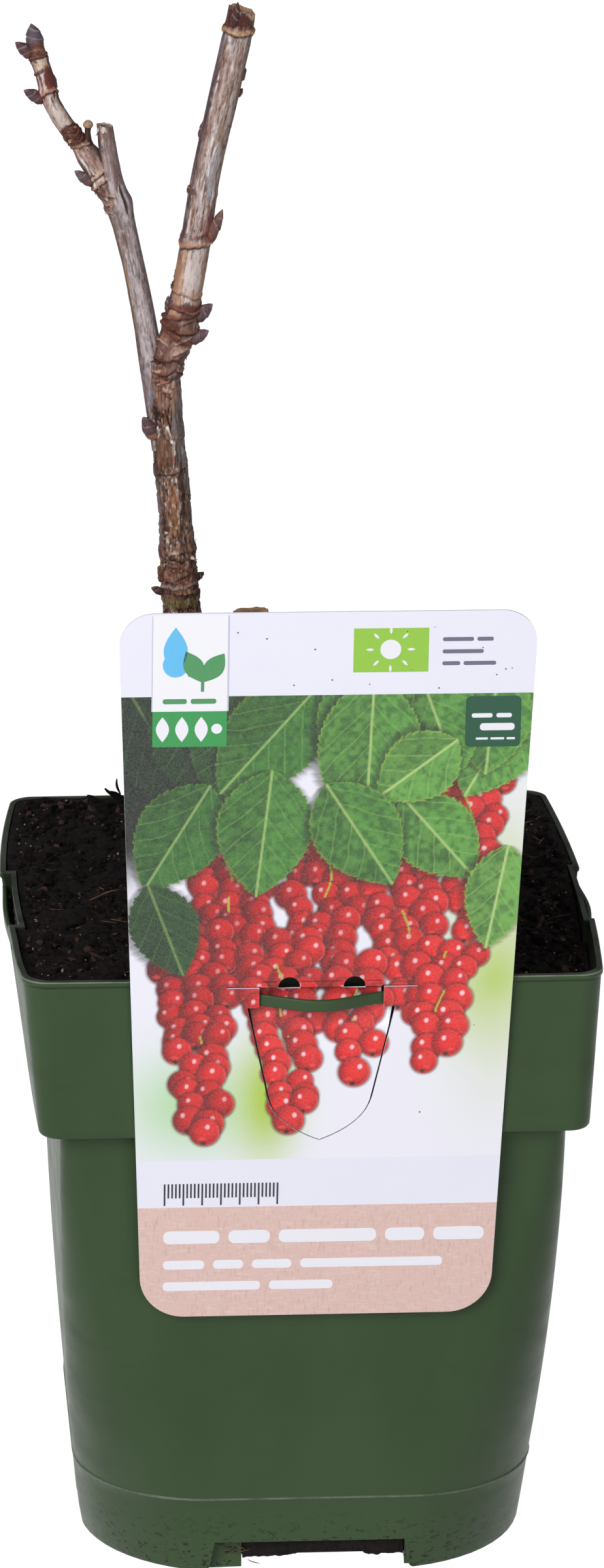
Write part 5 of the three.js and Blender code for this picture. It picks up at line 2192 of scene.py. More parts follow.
        for k in range(bud.kind.value):
            turn = TURN * k / bud.kind.value + rng.uniform(-0.3, 0.3)
            foot, away = scale(turn, 0.55, 0.72 - 0.3 * (bud.flare > 0.1))
            size = (bud.length * rng.uniform(0.3, 0.42), bud.radius * rng.uniform(0.45, 0.62))
            tone = mixed(np.array(bud.tip), PALE, rng.uniform(0, 0.3))
            flare = bud.flare * rng.uniform(0.4, 1.6)
            parts.append(blade(foot, unit(axis - 0.45 * away), away, size, flare, tone))
        for k in range(4):
            foot, away = scale(TURN * k / 4 + rng.uniform(-0.4, 0.4), 0.05, 0.75)
            size = (bud.length * 0.26, bud.radius * 0.55)
            parts.append(blade(foot, axis, away, size, 0.1, mixed(np.array(bud.foot), DARK, 0.3)))
        return joined(parts)

    def spur(self, spur: Spur) -> Surface:
        """A cut spur with its dark stalk and pale round knob.

        Args:
            spur: Its place and sizes.

        Returns:
            The closed spur.
        """
        origin, _, outward, axis = self.local(spur.at, spur.around, spur.lean)
        base = origin + outward * (float(self.radius(spur.at)) - spur.sink)
        side = unit(np.cross(axis, outward))
        other = np.cross(axis, side)
        knob = spur.stalk + np.array([0.1, 0.35, 0.8, 1.25, 1.55, 1.7, 1.55]) * spur.knob_radius
        along = np.concatenate([np.array([0, 0.35, 0.75]) * spur.stalk, knob])
        stalk = np.array([2.2, 1.3, 0.9]) * spur.stalk_radius
        wide = np.concatenate([stalk, np.array([0.6, 0.86, 1.02, 0.86, 0.6, 0.35, 0.14]) * spur.knob_radius])
        t = np.linspace(0, 1, 30)[:, None]
        rank = np.linspace(0, 1, len(along))
        angle = full_turn(24)
        noise = grain(xyz(np.cos(angle), np.sin(angle), t * 4) * 2.2, self.seed + 51, 3)
        out = np.interp(t, rank, wide) * (0.9 + 0.22 * noise)
        ring = side * (out * np.cos(angle))[..., None] + other * (out * np.sin(angle))[..., None]
        rings = base + axis * np.interp(t, rank, along)[..., None] + ring
        return sleeve(rings, mixed(evenly(DARK, out.shape), TAN, ease(t, 0.36, 0.46) * (0.55 + 0.45 * noise)))

    def scales(self, flakes: Flakes, seed: int) -> list[Surface]:
        """Small peeling scales over a stretch of the limb.

        Args:
            flakes: The stretch and its scales.
            seed: Which random places and sizes.

        Returns:
            The scales.
        """
        rng = np.random.default_rng(seed)
        parts = []
        for _ in range(flakes.count):
            share = rng.uniform(flakes.start, flakes.end)
            origin, tangent, outward, _ = self.local(share, rng.uniform(*flakes.around))
            way = tangent * rng.choice([-1.0, 1.0]) + np.cross(tangent, outward) * rng.uniform(-0.8, 0.8)
            size = (rng.uniform(*flakes.length), rng.uniform(0.25, 0.7))
            tone = np.array(flakes.colours[rng.integers(len(flakes.colours))])
            tone = mixed(tone, DARK, rng.uniform(0, 0.4))
            foot = origin + outward * (float(self.radius(share)) - 0.05)
            parts.append(blade(foot, unit(way), outward, size, flakes.lift * rng.uniform(0.1, 1.0), tone))
        return parts

    def place(self, bench: Bench, bark: Material) -> None:
        """Puts the limb in, in place of the model's.

        Args:
            bench: Puts the piece in.
            bark: Its finish.
        """
        parts = [self.skin()]
        parts += [self.bud(bud, self.seed * 10 + k) for k, bud in enumerate(self.buds)]
        parts += [self.spur(spur) for spur in self.spurs]
        for k, flakes in enumerate(self.flakes):
            parts += self.scales(flakes, self.seed * 100 + k)
        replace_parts(bench.put(self.name, joined(parts), bark, 70.0), self.node)


def stem() -> Limb:
    """The leaning stem, from the peat to the fork.

    Returns:
        The limb.
    """
    return Limb(
        name="stem_bark",
        node="stem",
        slot="bark",
        points=[
            [-27.2, 4, 175.3], [-29.4, 3.4, 215], [-32.2, 2, 258],
            [-34.3, 1, 286], [-37.2, 0.4, 314], [-38.4, 0, 326],
        ],
        radii=[8.4, 6.3, 5.9, 5.7, 5.3, 4.7, 4.45, 4.2, 4.3, 5.2],
        nodes=[(0.5, 0.5, 0.02), (0.56, 0.45, 0.012), (0.64, 0.3, 0.012), (0.8, 0.35, 0.014)],
        style=BarkStyle(
            rgb(112, 74, 61), rgb(160, 120, 104), DARK,
            streak=0.95, ridge=0.22, plate=0.24, crack=0.24, cracked=0.7, stretch=0.12,
            # left and right are the colours of the painted shade on the limb's sides.
            left=rgb(62, 44, 42), right=rgb(52, 38, 38), sides=0.85, fleck=0.8,
        ),
        rings=[
            Ring(0.985, 0.25, 0.4, TAN, 0.7, 0.3, 0.8, 25, 75),
            Ring(0.795, 0.2, 0.5, BROWN, 0.4, 0.5, 0.9, -10, 80),
            Ring(0.645, 0.2, 0.4, TAN, 0.5, -0.4, 0.6, 20, 60),
            *crescents(0.56, 0.66, 6, 77, 0.4, 0.45, 0.5),
            *crescents(0.94, 1.0, 3, 79, 0.2, 0.3),
        ],
        scaly=[
            Scaly(0.585, 8.5, 3.4, 0.3, tint=0.5, main=rgb(92, 56, 44), edge=rgb(158, 116, 92)),
            Scaly(0.97, 5.0, 2.4, 0.25, 15, 75, 0.7, rgb(122, 80, 64), rgb(186, 146, 122)),
            Scaly(0.72, 16.0, 6.5, 0.28, 0, 180, 0.28, rgb(110, 76, 58), rgb(164, 130, 108)),
            Scaly(0.3, 34.0, 6.5, 0.25, 0, 180, 0.3, rgb(100, 68, 52), rgb(150, 118, 96)),
        ],
        patches=[
            Patch(0.9, 75, 17, 62, rgb(120, 104, 98), 0.7, 0.12, 0.9),
            Patch(0.78, 85, 12, 55, rgb(112, 96, 90), 0.5, 0.1, 0.9),
            Patch(0.72, -95, 12, 40, GREY, 0.5, 0.1, 0.9),
            Patch(0.95, -105, 12, 46, GREY, 0.9, 0.0, 0.6),
            Patch(1.0, -72, 15, 62, GREY, 0.7, -2.8, 0.3, 0.0),
            Patch(0.9, -38, 3, 11, DARK, 0.9, -0.4, 0.2),
            Patch(0.83, -22, 5.2, 34, BROWN, 0.85, 0.35, 0.15),
            Patch(0.725, -5, 9, 24, OCHRE, 0.28, 0.15, 0.6),
            Patch(0.75, 38, 8, 12, DARK, 0.8, -0.25, 0.6),
            Patch(0.68, 24, 7, 12, DARK, 0.6, -0.2, 0.6),
            Patch(0.71, -48, 9, 9, DARK, 0.7, -0.25, 0.6),
            Patch(0.62, 0, 7, 180, RED, 0.3, 0.0, 0.8),
            Patch(0.575, 0, 4.2, 180, rgb(70, 42, 34), 0.55, 0.0, 0.8),
            Patch(0.55, 0, 1.5, 180, GREEN, 0.7, 0.0, 0.7),
            Patch(0.534, -5, 0.9, 9, DARK, 0.9, -0.4, 0.1),
            Patch(0.598, -5, 4.4, 55, rgb(150, 100, 76), 0.45, 0.25, 0.9),
            Patch(0.6, -88, 2.4, 22, rgb(66, 40, 34), 0.9, 0.9, 0.3),
            Patch(0.578, -48, 1.7, 26, DARK, 0.9, -0.4, 0.4),
            Patch(0.572, 12, 1.3, 16, rgb(176, 124, 84), 0.7, 0.25, 0.4),
            Patch(0.955, 15, 7.0, 50, rgb(138, 100, 82), 0.75, 0.1, 0.8),
        ],
        buds=[
            Bud(0.856, -70, 30, 6.8, 2.2, CLOSED, rgb(88, 62, 68), rgb(178, 120, 86)),
            Bud(0.565, -82, 66, 3.8, 1.1, OPEN, rgb(70, 44, 36), DARK),
            Bud(0.585, 88, 60, 3.0, 1.0, OPEN, rgb(60, 38, 32), DARK),
            Bud(0.7, 165, 30, 7, 2),
            Bud(0.3, 60, 30, 6, 1.8),
        ],
        flakes=[
            Flakes(0.53, 0.66, 54, (0.6, 1.6), 0.6, (-180, 180), (TAN, BROWN, RED, BROWN)),
            Flakes(0.57, 0.7, 22, (0.5, 1.1), 0.9, (-110, 110), (PALE, TAN, RED)),
            Flakes(0.66, 0.98, 40, (0.8, 2.2), 0.2, (-180, 180), (GREY, BROWN, BROWN)),
            Flakes(0.05, 0.53, 40, (0.8, 2.4), 0.3),
        ],
        root=(-27.1, 4.0, 168.0),
        root_radius=10.5,
        rows=480,
        columns=128,
        seed=3,
    )


def left_limb() -> Limb:
    """The left limb, cut to a short stub.

    Returns:
        The limb.
    """
    return Limb(
        name="left_bark",
        node="left_limb",
        slot="bark",
        points=[
            [-40.8, 0.8, 326.3], [-42.4, 1.2, 336], [-44.9, 1.8, 348.6], [-47.8, 2.2, 361.4],
            [-50.3, 2.4, 371], [-51.9, 2.4, 380], [-53, 2.2, 388.6],
        ],
        radii=[3.3, 3.1, 3.05, 3, 2.95, 3.1, 3.4, 2.7, 2.4, 2.1],
        nodes=[(0.66, 0.5, 0.04)],
        style=BarkStyle(
            rgb(140, 123, 124), rgb(176, 162, 164), rgb(104, 82, 76),
            streak=0.85, ridge=0.06, plate=0.0, crack=0.05, cracked=0.35, stretch=0.05,
            # left and right are the colours of the painted shade on the limb's sides.
            left=rgb(88, 62, 66), right=rgb(108, 88, 90), sides=0.85, fleck=0.35,
        ),
        rings=[
            Ring(0.7, 0.3, 0.5, TAN, 0.5, -1.2, 0.8, -60, 62),
            Ring(0.665, 0.3, 0.45, TAN, 0.6, -1.0, 0.8, -70, 55),
            Ring(0.63, 0.2, 0.4, TAN, 0.5, -0.8, 0.5, -75, 40),
        ],
        scaly=[Scaly(0.68, 4.6, 2.2, 0.2, -70, 62, 0.5, rgb(108, 76, 66), rgb(172, 144, 132))],
        patches=[
            Patch(0.36, -74, 19, 30, rgb(104, 78, 66), 0.8, -0.15, 0.5),
            Patch(0.36, -52, 18, 5, rgb(176, 138, 100), 0.7, 0.12, 0.3),
            Patch(0.68, 32, 4.4, 9, DARK, 0.85, -0.4, 0.3),
            Patch(0.8, -85, 6.5, 32, DARK, 0.85, -0.2, 0.6),
            Patch(0.86, 20, 7, 80, rgb(138, 112, 110), 0.5, 0.0, 0.8),
            Patch(0.97, 0, 2.2, 180, BROWN, 0.45, 0.0, 0.9),
        ],
        buds=[Bud(0.34, 170, 28, 6.5, 1.8)],
        flakes=[
            Flakes(0.62, 0.72, 12, (0.5, 1.1), 0.5, (-140, -10)),
            Flakes(0.97, 1.0, 5, (0.8, 1.6), 0.7, (-120, 40), (PALE, TAN)),
        ],
        end=CutEnd(0.5, 0.5, rgb(188, 170, 158), BROWN, -0.3),
        root=(-39.3, -0.5, 300.5),
        root_radius=1.0,
        rows=330,
        columns=96,
        seed=5,
    )


def right_limb() -> Limb:
    """The thicker right limb, with a hollow jagged top.

    Returns:
        The limb.
    """
    return Limb(
        name="right_bark",
        node="right_limb",
        slot="bark",
        points=[
            [-35.9, -1.8, 326.3], [-33.2, -2.6, 335.6], [-31.2, -3, 346], [-29.2, -4, 359],
            [-26.7, -5, 377], [-22.4, -6.5, 398], [-18.9, -7.6, 415], [-17.8, -8, 421.6],
        ],
        radii=[4.1, 4.5, 4.05, 4, 3.95, 3.8, 3.75, 3.85, 3.9, 3.9, 3.6],
        nodes=[
            (0.04, 0.35, 0.02), (0.1, 0.45, 0.02), (0.155, 0.2, 0.012),
            (0.35, 0.4, 0.012), (0.48, 0.2, 0.01), (0.945, 0.35, 0.01),
        ],
        style=BarkStyle(
            rgb(176, 154, 148), rgb(208, 196, 194), rgb(126, 92, 76),
            streak=1.0, ridge=0.08, plate=0.0, crack=0.08, cracked=0.5, stretch=0.07,
            # left and right are the colours of the painted shade on the limb's sides.
            left=rgb(88, 60, 66), right=rgb(116, 82, 74), sides=0.9, fleck=0.45,
        ),
        rings=[
            Ring(0.945, 0.35, 0.65, rgb(188, 148, 118), 0.9, 0.5, 1.0),
            Ring(0.34, 0.45, 0.7, rgb(184, 140, 114), 0.9, 0.9, 1.0),
            Ring(0.365, 0.15, 0.5, rgb(120, 64, 46), 0.7, 1.4, 0.3, 35, 60),
            Ring(0.195, 0.2, 0.5, OCHRE, 0.4, -0.5, 0.6),
            Ring(0.16, 0.3, 0.6, rgb(116, 68, 52), 0.9, 0.6, 1.0),
            Ring(0.1, 0.45, 0.7, rgb(150, 104, 84), 0.7, -0.3, 1.0, 20, 120),
            *crescents(-0.1, 0.155, 20, 71, 0.5, 0.55),
        ],
        scaly=[
            Scaly(-0.09, 5.0, 2.8, 0.2, tint=0.6, main=rgb(124, 82, 66)),
            Scaly(0.95, 1.6, 1.4, 0.2, tint=0.4),
        ],
        patches=[
            Patch(0.6, 70, 32, 20, rgb(150, 112, 90), 0.5, 0.0, 0.7),
            Patch(0.25, -10, 8.5, 180, rgb(184, 142, 114), 0.65, 0.0, 1.0),
            Patch(0.26, 5, 8.0, 36, rgb(204, 190, 188), 0.8, 0.0, 1.3),
            Patch(0.05, 0, 9.6, 180, rgb(114, 76, 66), 0.75, 0.0, 0.4),
            Patch(0.15, 10, 2.4, 34, rgb(84, 56, 54), 0.8, 0.25, 0.5),
            Patch(0.135, -35, 1.8, 26, rgb(190, 150, 126), 0.7, 0.2, 0.5),
            Patch(0.035, 8, 2.6, 24, rgb(176, 142, 128), 0.7, 0.35, 0.4),
            Patch(0.06, -50, 2.0, 22, rgb(170, 130, 116), 0.6, 0.2, 0.5),
            Patch(-0.05, -20, 2.2, 20, rgb(176, 130, 104), 0.6, 0.2, 0.5),
            Patch(0.085, -25, 2.4, 36, rgb(128, 86, 66), 0.8, 0.3, 0.5),
            Patch(0.974, 0, 2.3, 180, rgb(92, 46, 38), 0.95, 0.0, 0.5),
            Patch(0.995, 70, 1.6, 50, WOOD, 0.8, 0.0, 0.5),
            Patch(0.825, 84, 1.7, 22, DARK, 0.85, 0.5, 0.4),
            Patch(0.485, -70, 1.0, 44, BROWN, 0.9, 0.3, 0.3),
            Patch(0.41, 30, 5.5, 14, rgb(124, 62, 44), 0.5, 0.1, 0.5),
            Patch(0.21, -78, 1.4, 14, DARK, 0.8, 0.4, 0.3),
            # Painted highlight: a pale lavender streak down the limb's front.
            Patch(0.55, 22, 9, 14, rgb(176, 174, 186), 0.6, 0.0, 0.8),
            Patch(0.42, 48, 6.5, 18, rgb(116, 58, 42), 0.55, 0.1, 0.8),
            Patch(0.75, 30, 26, 26, rgb(150, 118, 96), 0.35, 0.0, 1.2),
            Patch(0.7, -35, 30, 10, rgb(132, 98, 78), 0.4, 0.0, 1.2),
        ],
        buds=[
            Bud(0.065, 74, 46, 6.0, 1.8, CLOSED, rgb(104, 80, 88), rgb(112, 66, 56)),
            Bud(0.125, 76, 38, 6.2, 1.9, CLOSED, rgb(104, 80, 88), rgb(112, 66, 56)),
            Bud(0.13, -85, 12, 4.2, 0.9),
            Bud(0.345, 62, 16, 9.8, 1.6, OPEN, rgb(112, 76, 70), rgb(124, 58, 40), rgb(128, 118, 128), 0.4),
            Bud(0.76, 92, 24, 2.6, 0.8, CLOSED, rgb(92, 58, 48), DARK),
            Bud(0.6, -150, 24, 7, 1.9),
            Bud(0.955, -30, 4, 6.6, 1.2, CLOSED, rgb(70, 38, 34), rgb(64, 34, 30)),
        ],
        flakes=[
            Flakes(-0.04, 0.17, 44, (0.6, 1.5), 0.7, (-180, 180), (TAN, OCHRE, RED)),
            Flakes(0.17, 0.25, 8, (0.8, 2.0), 0.6, (-130, -50), (DARK, BROWN)),
            Flakes(0.335, 0.355, 7, (0.5, 0.9), 0.7, (-110, 100), (OCHRE, BROWN)),
            Flakes(0.935, 0.95, 7, (0.5, 1.0), 0.9, (-110, 110), (OCHRE, BROWN)),
            Flakes(0.478, 0.488, 4, (0.6, 1.1), 0.9, (-100, -60), (BROWN, TAN)),
        ],
        end=CutEnd(1.1, 3.0, rgb(170, 132, 104), rgb(54, 32, 27), -0.15),
        root=(-37.4, -0.1, 311.0),
        root_radius=2.4,
        rows=420,
        columns=112,
        seed=8,
    )


def low_limb() -> Limb:
    """The short low limb behind the card.

    Returns:
        The limb.
    """
    return Limb(
        name="low_bark",
        node="low_limb",
        slot="bark",
        points=[[-31, 2.6, 230], [-25, 1.8, 236.5], [-17.8, 0.6, 245.5], [-13.5, 0, 254.8]],
        radii=[4.2, 4.3, 4.3, 4.35, 4.3],
        nodes=[(0.72, 0.35, 0.03)],
        style=BarkStyle(rgb(132, 104, 84), rgb(164, 136, 112), DARK, 0.85, 0.14, 0.12, 0.12, 0.5, 0.1),
        rings=[Ring(0.72, 0.3, 0.7, OCHRE, 0.6, 0.4, 0.8), Ring(0.3, 0.3, 0.8, BROWN, 0.5, 0.4, 0.8)],
        buds=[Bud(0.7, 120, 34, 5.6, 1.7)],
        flakes=[
            Flakes(0.1, 0.95, 18, (0.8, 2.0), 0.4),
            Flakes(0.985, 1.0, 4, (1.0, 1.8), 0.9, (70, 110), (DARK, BROWN)),
        ],
        end=CutEnd(0.5, 0.3, rgb(160, 128, 96), rgb(140, 104, 76), 0.5),
        rows=130,
        columns=88,
        seed=12,
    )


def tip_shoot() -> Limb:
    """The thin shoot with buds that grows on from the left limb.

    Returns:
        The limb.
    """
    return Limb(
        name="shoot_bark",
        node="tip_shoot",
        slot="shoot",
        points=[
            [-51.6, 2.4, 369], [-54.4, 2.8, 374.5], [-56.6, 3.2, 379], [-59.4, 4, 383.2], [-62.6, 5, 387.2],
            [-65.2, 5.6, 391], [-67.4, 6.2, 395.4], [-68.7, 7.4, 401], [-70, 8.4, 405], [-70.7, 9, 408],
        ],
        radii=[2.4, 2.8, 2.9, 2.9, 2.5, 2.35, 2.35, 2.3, 2.2, 2.3, 2.3, 2.1],
        nodes=[
            (0.1, 0.35, 0.03), (0.27, 0.35, 0.07), (0.44, 0.35, 0.03), (0.71, 0.4, 0.025), (0.93, 0.3, 0.02),
        ],
        style=BarkStyle(
            rgb(186, 152, 138), rgb(212, 194, 190), rgb(134, 84, 68),
            streak=1.0, ridge=0.08, plate=0.0, crack=0.08, cracked=0.55, stretch=0.08,
            # left and right are the colours of the painted shade on the limb's sides.
            left=rgb(100, 62, 64), right=rgb(112, 68, 60), sides=0.85, fleck=0.5,
        ),
        rings=[
            Ring(0.95, 0.3, 0.6, BROWN, 0.7, 0.0, 0.9),
            Ring(0.86, 0.3, 0.4, RED, 0.8, 0.5, 0.8, -50, 70),
            Ring(0.73, 0.35, 0.6, rgb(180, 138, 116), 0.8, -0.3, 1.0),
            Ring(0.36, 0.2, 0.4, TAN, 0.6, -0.8, 0.8),
            Ring(0.16, 0.3, 0.5, TAN, 0.7, 0.6, 0.9),
            Ring(0.11, 0.3, 0.5, TAN, 0.6, 0.6, 0.9),
        ],
        scaly=[
            Scaly(0.43, 3.4, 1.7, 0.35, tint=0.95, main=rgb(92, 52, 44), edge=rgb(150, 100, 80)),
            Scaly(0.04, 3.6, 2.4, 0.2, tint=0.5, main=rgb(112, 74, 62), edge=rgb(176, 146, 130)),
            Scaly(0.96, 1.6, 1.2, 0.2, tint=0.6, main=rgb(108, 66, 52)),
        ],
        patches=[
            Patch(0.79, 36, 3.7, 46, rgb(112, 60, 52), 0.95, 0.25, 0.9),
            Patch(0.9, -12, 2.2, 40, rgb(196, 160, 122), 0.4, 0.0, 0.9),
            Patch(0.975, 0, 1.9, 180, rgb(116, 68, 56), 0.9, 0.0, 0.6),
            Patch(0.58, 10, 4.0, 60, rgb(190, 172, 158), 0.5, 0.0, 0.7),
            Patch(0.27, 30, 3.2, 90, rgb(150, 124, 116), 0.4, 0.1, 0.9),
            Patch(0.3, 55, 3.0, 40, rgb(96, 70, 62), 0.5, -0.1, 1.2),
            Patch(0.2, -50, 4.0, 16, rgb(110, 84, 70), 0.6, -0.1, 0.6),
            Patch(0.06, -50, 2.6, 60, rgb(104, 62, 52), 0.75, 0.1, 0.7),
            Patch(0.03, 40, 3.4, 60, rgb(150, 130, 124), 0.6, 0.0, 0.9),
        ],
        buds=[
            Bud(0.985, 0, 0, 6.5, 2.3, OPEN, rgb(92, 82, 94), rgb(104, 60, 46), rgb(118, 108, 120), 0.04),
            Bud(0.955, -80, 42, 5.6, 1.65, CLOSED, rgb(84, 58, 64), rgb(96, 50, 40)),
            Bud(0.69, -82, 46, 5.8, 1.7, CLOSED, rgb(84, 60, 66), rgb(90, 48, 40)),
            Bud(0.12, -76, 30, 5.8, 1.5, OPEN, rgb(98, 78, 80), rgb(108, 62, 48)),
            Bud(0.72, 150, 26, 5.6, 1.6),
        ],
        spurs=[Spur()],
        flakes=[
            Flakes(0.36, 0.5, 14, (0.5, 1.1), 0.6, (-180, 180), (RED, OCHRE, BROWN)),
            Flakes(0.0, 0.17, 14, (0.5, 1.1), 0.6, (-150, 100), (TAN, RED, BROWN)),
            Flakes(0.72, 0.76, 6, (0.4, 0.8), 0.7, (-120, 120), (OCHRE, BROWN)),
            Flakes(0.92, 0.97, 6, (0.4, 0.8), 0.7, (-120, 120), (BROWN, RED)),
        ],
        root=(-49.6, 2.3, 365.0),
        root_radius=1.9,
        rows=260,
        columns=88,
        seed=15,
    )


# The card.

PRINT_WHITE = rgb(244, 243, 252)
PRINT_GREENS = (rgb(38, 66, 40), rgb(74, 132, 62), rgb(110, 170, 84), rgb(150, 196, 112))
PRINT_RED = rgb(236, 34, 36)
PRINT_CRIMSON = rgb(138, 14, 32)
PRINT_LIME = rgb(190, 214, 96)
LAYER_GAP = 0.002
Parts = list[Surface]


def mirrored(u: Array, v: Array, middle_u: Numbers = (), middle_v: Numbers = ()) -> Array:
    """Outline of a right side, a middle, and the same side on the left."""
    return np.column_stack([np.concatenate([u, middle_u, -u[::-1]]), np.concatenate([v, middle_v, v[::-1]])])


@dataclass(frozen=True)
class Leaf:
    """Plain pointed leaf of the picture, from its foot in a direction."""

    u: float
    v: float
    degrees: float
    length: float
    half: float
    light: float


@dataclass(frozen=True)
class Truss:
    """Hanging string of round fruits, from its top down."""

    u: float
    v: float
    drop: float
    lean: float
    half: float
    bright: float


@dataclass(frozen=True)
class Picture:
    """Generic design of round red fruits under plain pointed leaves."""

    fruit: float = 3.9
    seed: int = 77
    depth: Pair = (1.32, 1.045)
    trusses: tuple[Truss, ...] = (
        Truss(24, 84, 40, 4, 12.0, 0.0),
        Truss(-26, 48, 44, 4, 12.0, 0.1),
        Truss(2, 48, 42, -3, 13.0, 0.2),
        Truss(37, 66, 46, 2, 9.5, 0.75),
        Truss(20, 40, 44, 4, 11.0, 0.6),
        Truss(-34, 20, 58, 3, 11.0, 0.3),
        Truss(-12, 18, 52, 5, 10.5, 0.55),
        Truss(9, 10, 30, 0, 8.0, 0.7),
        Truss(33, 14, 32, -4, 9.0, 0.9),
    )
    leaves: tuple[Leaf, ...] = (
        Leaf(-52, 90, -62, 40, 13, 0.0),
        Leaf(-38, 92, -78, 36, 12, 0.05),
        Leaf(-20, 92, -100, 38, 13, 0.15),
        Leaf(52, 88, -118, 34, 12, 0.7),
        Leaf(44, 94, -95, 30, 11, 0.6),
        Leaf(-2, 90, -130, 40, 13, 0.35),
        Leaf(24, 92, -70, 30, 12, 0.55),
        Leaf(2, 92, -62, 42, 13, 0.5),
        Leaf(12, 92, -92, 46, 14, 0.6),
        Leaf(-30, 62, -120, 34, 12, 0.3),
        Leaf(-14, 66, -96, 36, 13, 0.45),
        Leaf(20, 58, -50, 30, 11, 0.65),
        Leaf(-46, 34, -70, 28, 9.5, 0.1),
        Leaf(48, 44, -100, 30, 9, 0.8),
        Leaf(34, 74, -142, 26, 10, 0.75),
        Leaf(0, 62, -58, 34, 12, 0.5),
    )

    def ground(self, u: Array, v: Array) -> Array:
        """White ground with soft green blurs, dark at the top left.

        Args:
            u: Places across the card.
            v: Places up the card.

        Returns:
            One colour a place.
        """
        blur = grain(xyz(u, v, 0) * 0.05, 5, 2)
        return painted(
            evenly(PRINT_WHITE, u.shape),
            (PRINT_LIME, bell(u, 44, 13) * bell(v, 16, 32) * (0.75 + 0.9 * (blur - 0.5))),
            (rgb(196, 228, 186), bell(u, -34, 18) * bell(v, -30, 15) * 0.95),
            (PRINT_LIME, bell(u, -14, 8) * bell(v, -28, 17)),
            (rgb(26, 44, 26), ease(v - 0.75 * u, 66, 86) * (0.75 + 0.5 * blur)),
        )

    def leaf(self, colour: Array, u: Array, v: Array, leaf: Leaf) -> None:
        """Paints one leaf: toothed pointed oval, veins, and its shadow.

        The half width follows the sine of the share of the length, to the
        power 0.75, with small teeth; side veins are slanted lines.

        Args:
            colour: The picture's colours, painted over in place.
            u: Places across the card.
            v: Places up the card.
            leaf: The leaf.
        """
        along, across = about(u - leaf.u, v - leaf.v, -math.radians(leaf.degrees))
        share = np.clip(along / leaf.length, 0, 1)
        half = leaf.half * np.sin(math.pi * share**0.85) ** 0.75 - 0.7 * ((along / 2.1) % 1.0)
        shade = (1 - ease(np.abs(across + 0.6) - half, 0.0, 2.6)) * (along > 0) * (along < leaf.length + 1)
        colour[:] = mixed(colour, rgb(30, 40, 26), 0.55 * shade)
        inside = (np.abs(across) < half) & (along > 0) & (along < leaf.length)
        a, b, half = across[inside], along[inside], half[inside]
        place = xyz(u[inside], v[inside], leaf.u)
        level = leaf.light * 3
        step = min(int(level), 2)
        bowed = b - 1.5 * np.abs(a) ** 0.9 + 3.0 * (grain(place * 0.12, 9, 2) - 0.5)
        quilt = np.abs((bowed / 6.4) % 1.0 - 0.5) * 2
        net = grain(place * 0.75, 4, 2)
        colour[inside] = painted(
            evenly(PRINT_GREENS[step], a.shape),
            (PRINT_GREENS[step + 1], level - step),
            ((0.0, 0.02, 0.0), 0.3 * (a < 0) + 0.5 * (grain(place * 0.22, 3, 3) - 0.4)),
            (PRINT_GREENS[3], 0.3 * leaf.light * (1 - quilt) + 0.35 * leaf.light * ease(net, 0.5, 0.7)),
            (rgb(20, 54, 30), 0.3 * ease(0.5 - net, 0.0, 0.2)),
            (rgb(176, 206, 130), 0.55 * ease(quilt, 0.88, 0.97) * (0.2 + leaf.light)),
            (rgb(196, 218, 150), 0.85 * (1 - ease(np.abs(a), 0.15, 0.5)) * (0.35 + leaf.light)),
            (rgb(184, 206, 92), 0.7 * (1 - ease(half - np.abs(a), 0.1, 0.7)) * leaf.light),
        )

    def one_fruit(self, colour: Array, u: Array, v: Array, radius: float, bright: float, seed: float) -> None:
        """Paints one round fruit: shaded disc, rim, two glints, dark tip.

        Args:
            colour: The picture's colours, painted over in place.
            u: Places across, from the fruit's middle.
            v: Places up from its middle.
            radius: Its radius.
            bright: How bright it is, from 0 to 1.
            seed: Which place its glints have.
        """
        near = (np.abs(u / radius) < 1.25) & (np.abs(v / radius) < 1.25)
        x, y = u[near] / radius, v[near] / radius
        d = np.hypot(x, y)
        lit = ease(0.55 * x + 0.6 * y - 0.5 * d, -0.75, 0.6)
        side = 0.42 * math.sin(seed)

        def spot(x0: float, y0: float, wide: float, high: float, hard: float = 0.6) -> Array:
            """Strength of a soft oval spot on the fruit."""
            return 1 - ease(np.hypot((x - x0) / wide, (y - y0) / high), hard, 1.1)

        tone = painted(
            evenly(mixed(np.array(PRINT_CRIMSON), PRINT_RED, bright), d.shape),
            (mixed(np.array(PRINT_RED), (1, 0.3, 0.25), 0.25 * bright), lit * 0.8),
            (rgb(96, 6, 18), (1 - lit) * 0.55 * ease(d, 0.3, 1.0)),
            (rgb(250, 120, 110), 0.5 * bell(d, 0.93, 0.06) * (x - y > 0.3)),
            (rgb(255, 226, 232), (0.35 + 0.6 * bright) * spot(side, 0.36, 0.17, 0.2)),
            (rgb(255, 110, 100), 0.55 * spot(-side, -0.5, 0.3, 0.14)),
            (rgb(50, 14, 16), 0.9 * spot(-0.1, -0.8, 0.2, 0.15, 0.7)),
        )
        shadow = mixed(colour[near], rgb(92, 8, 20), 0.6 * (1 - ease(d, 1.0, 1.22)))
        colour[near] = mixed(shadow, tone, 1 - ease(d, 0.97, 1.03))

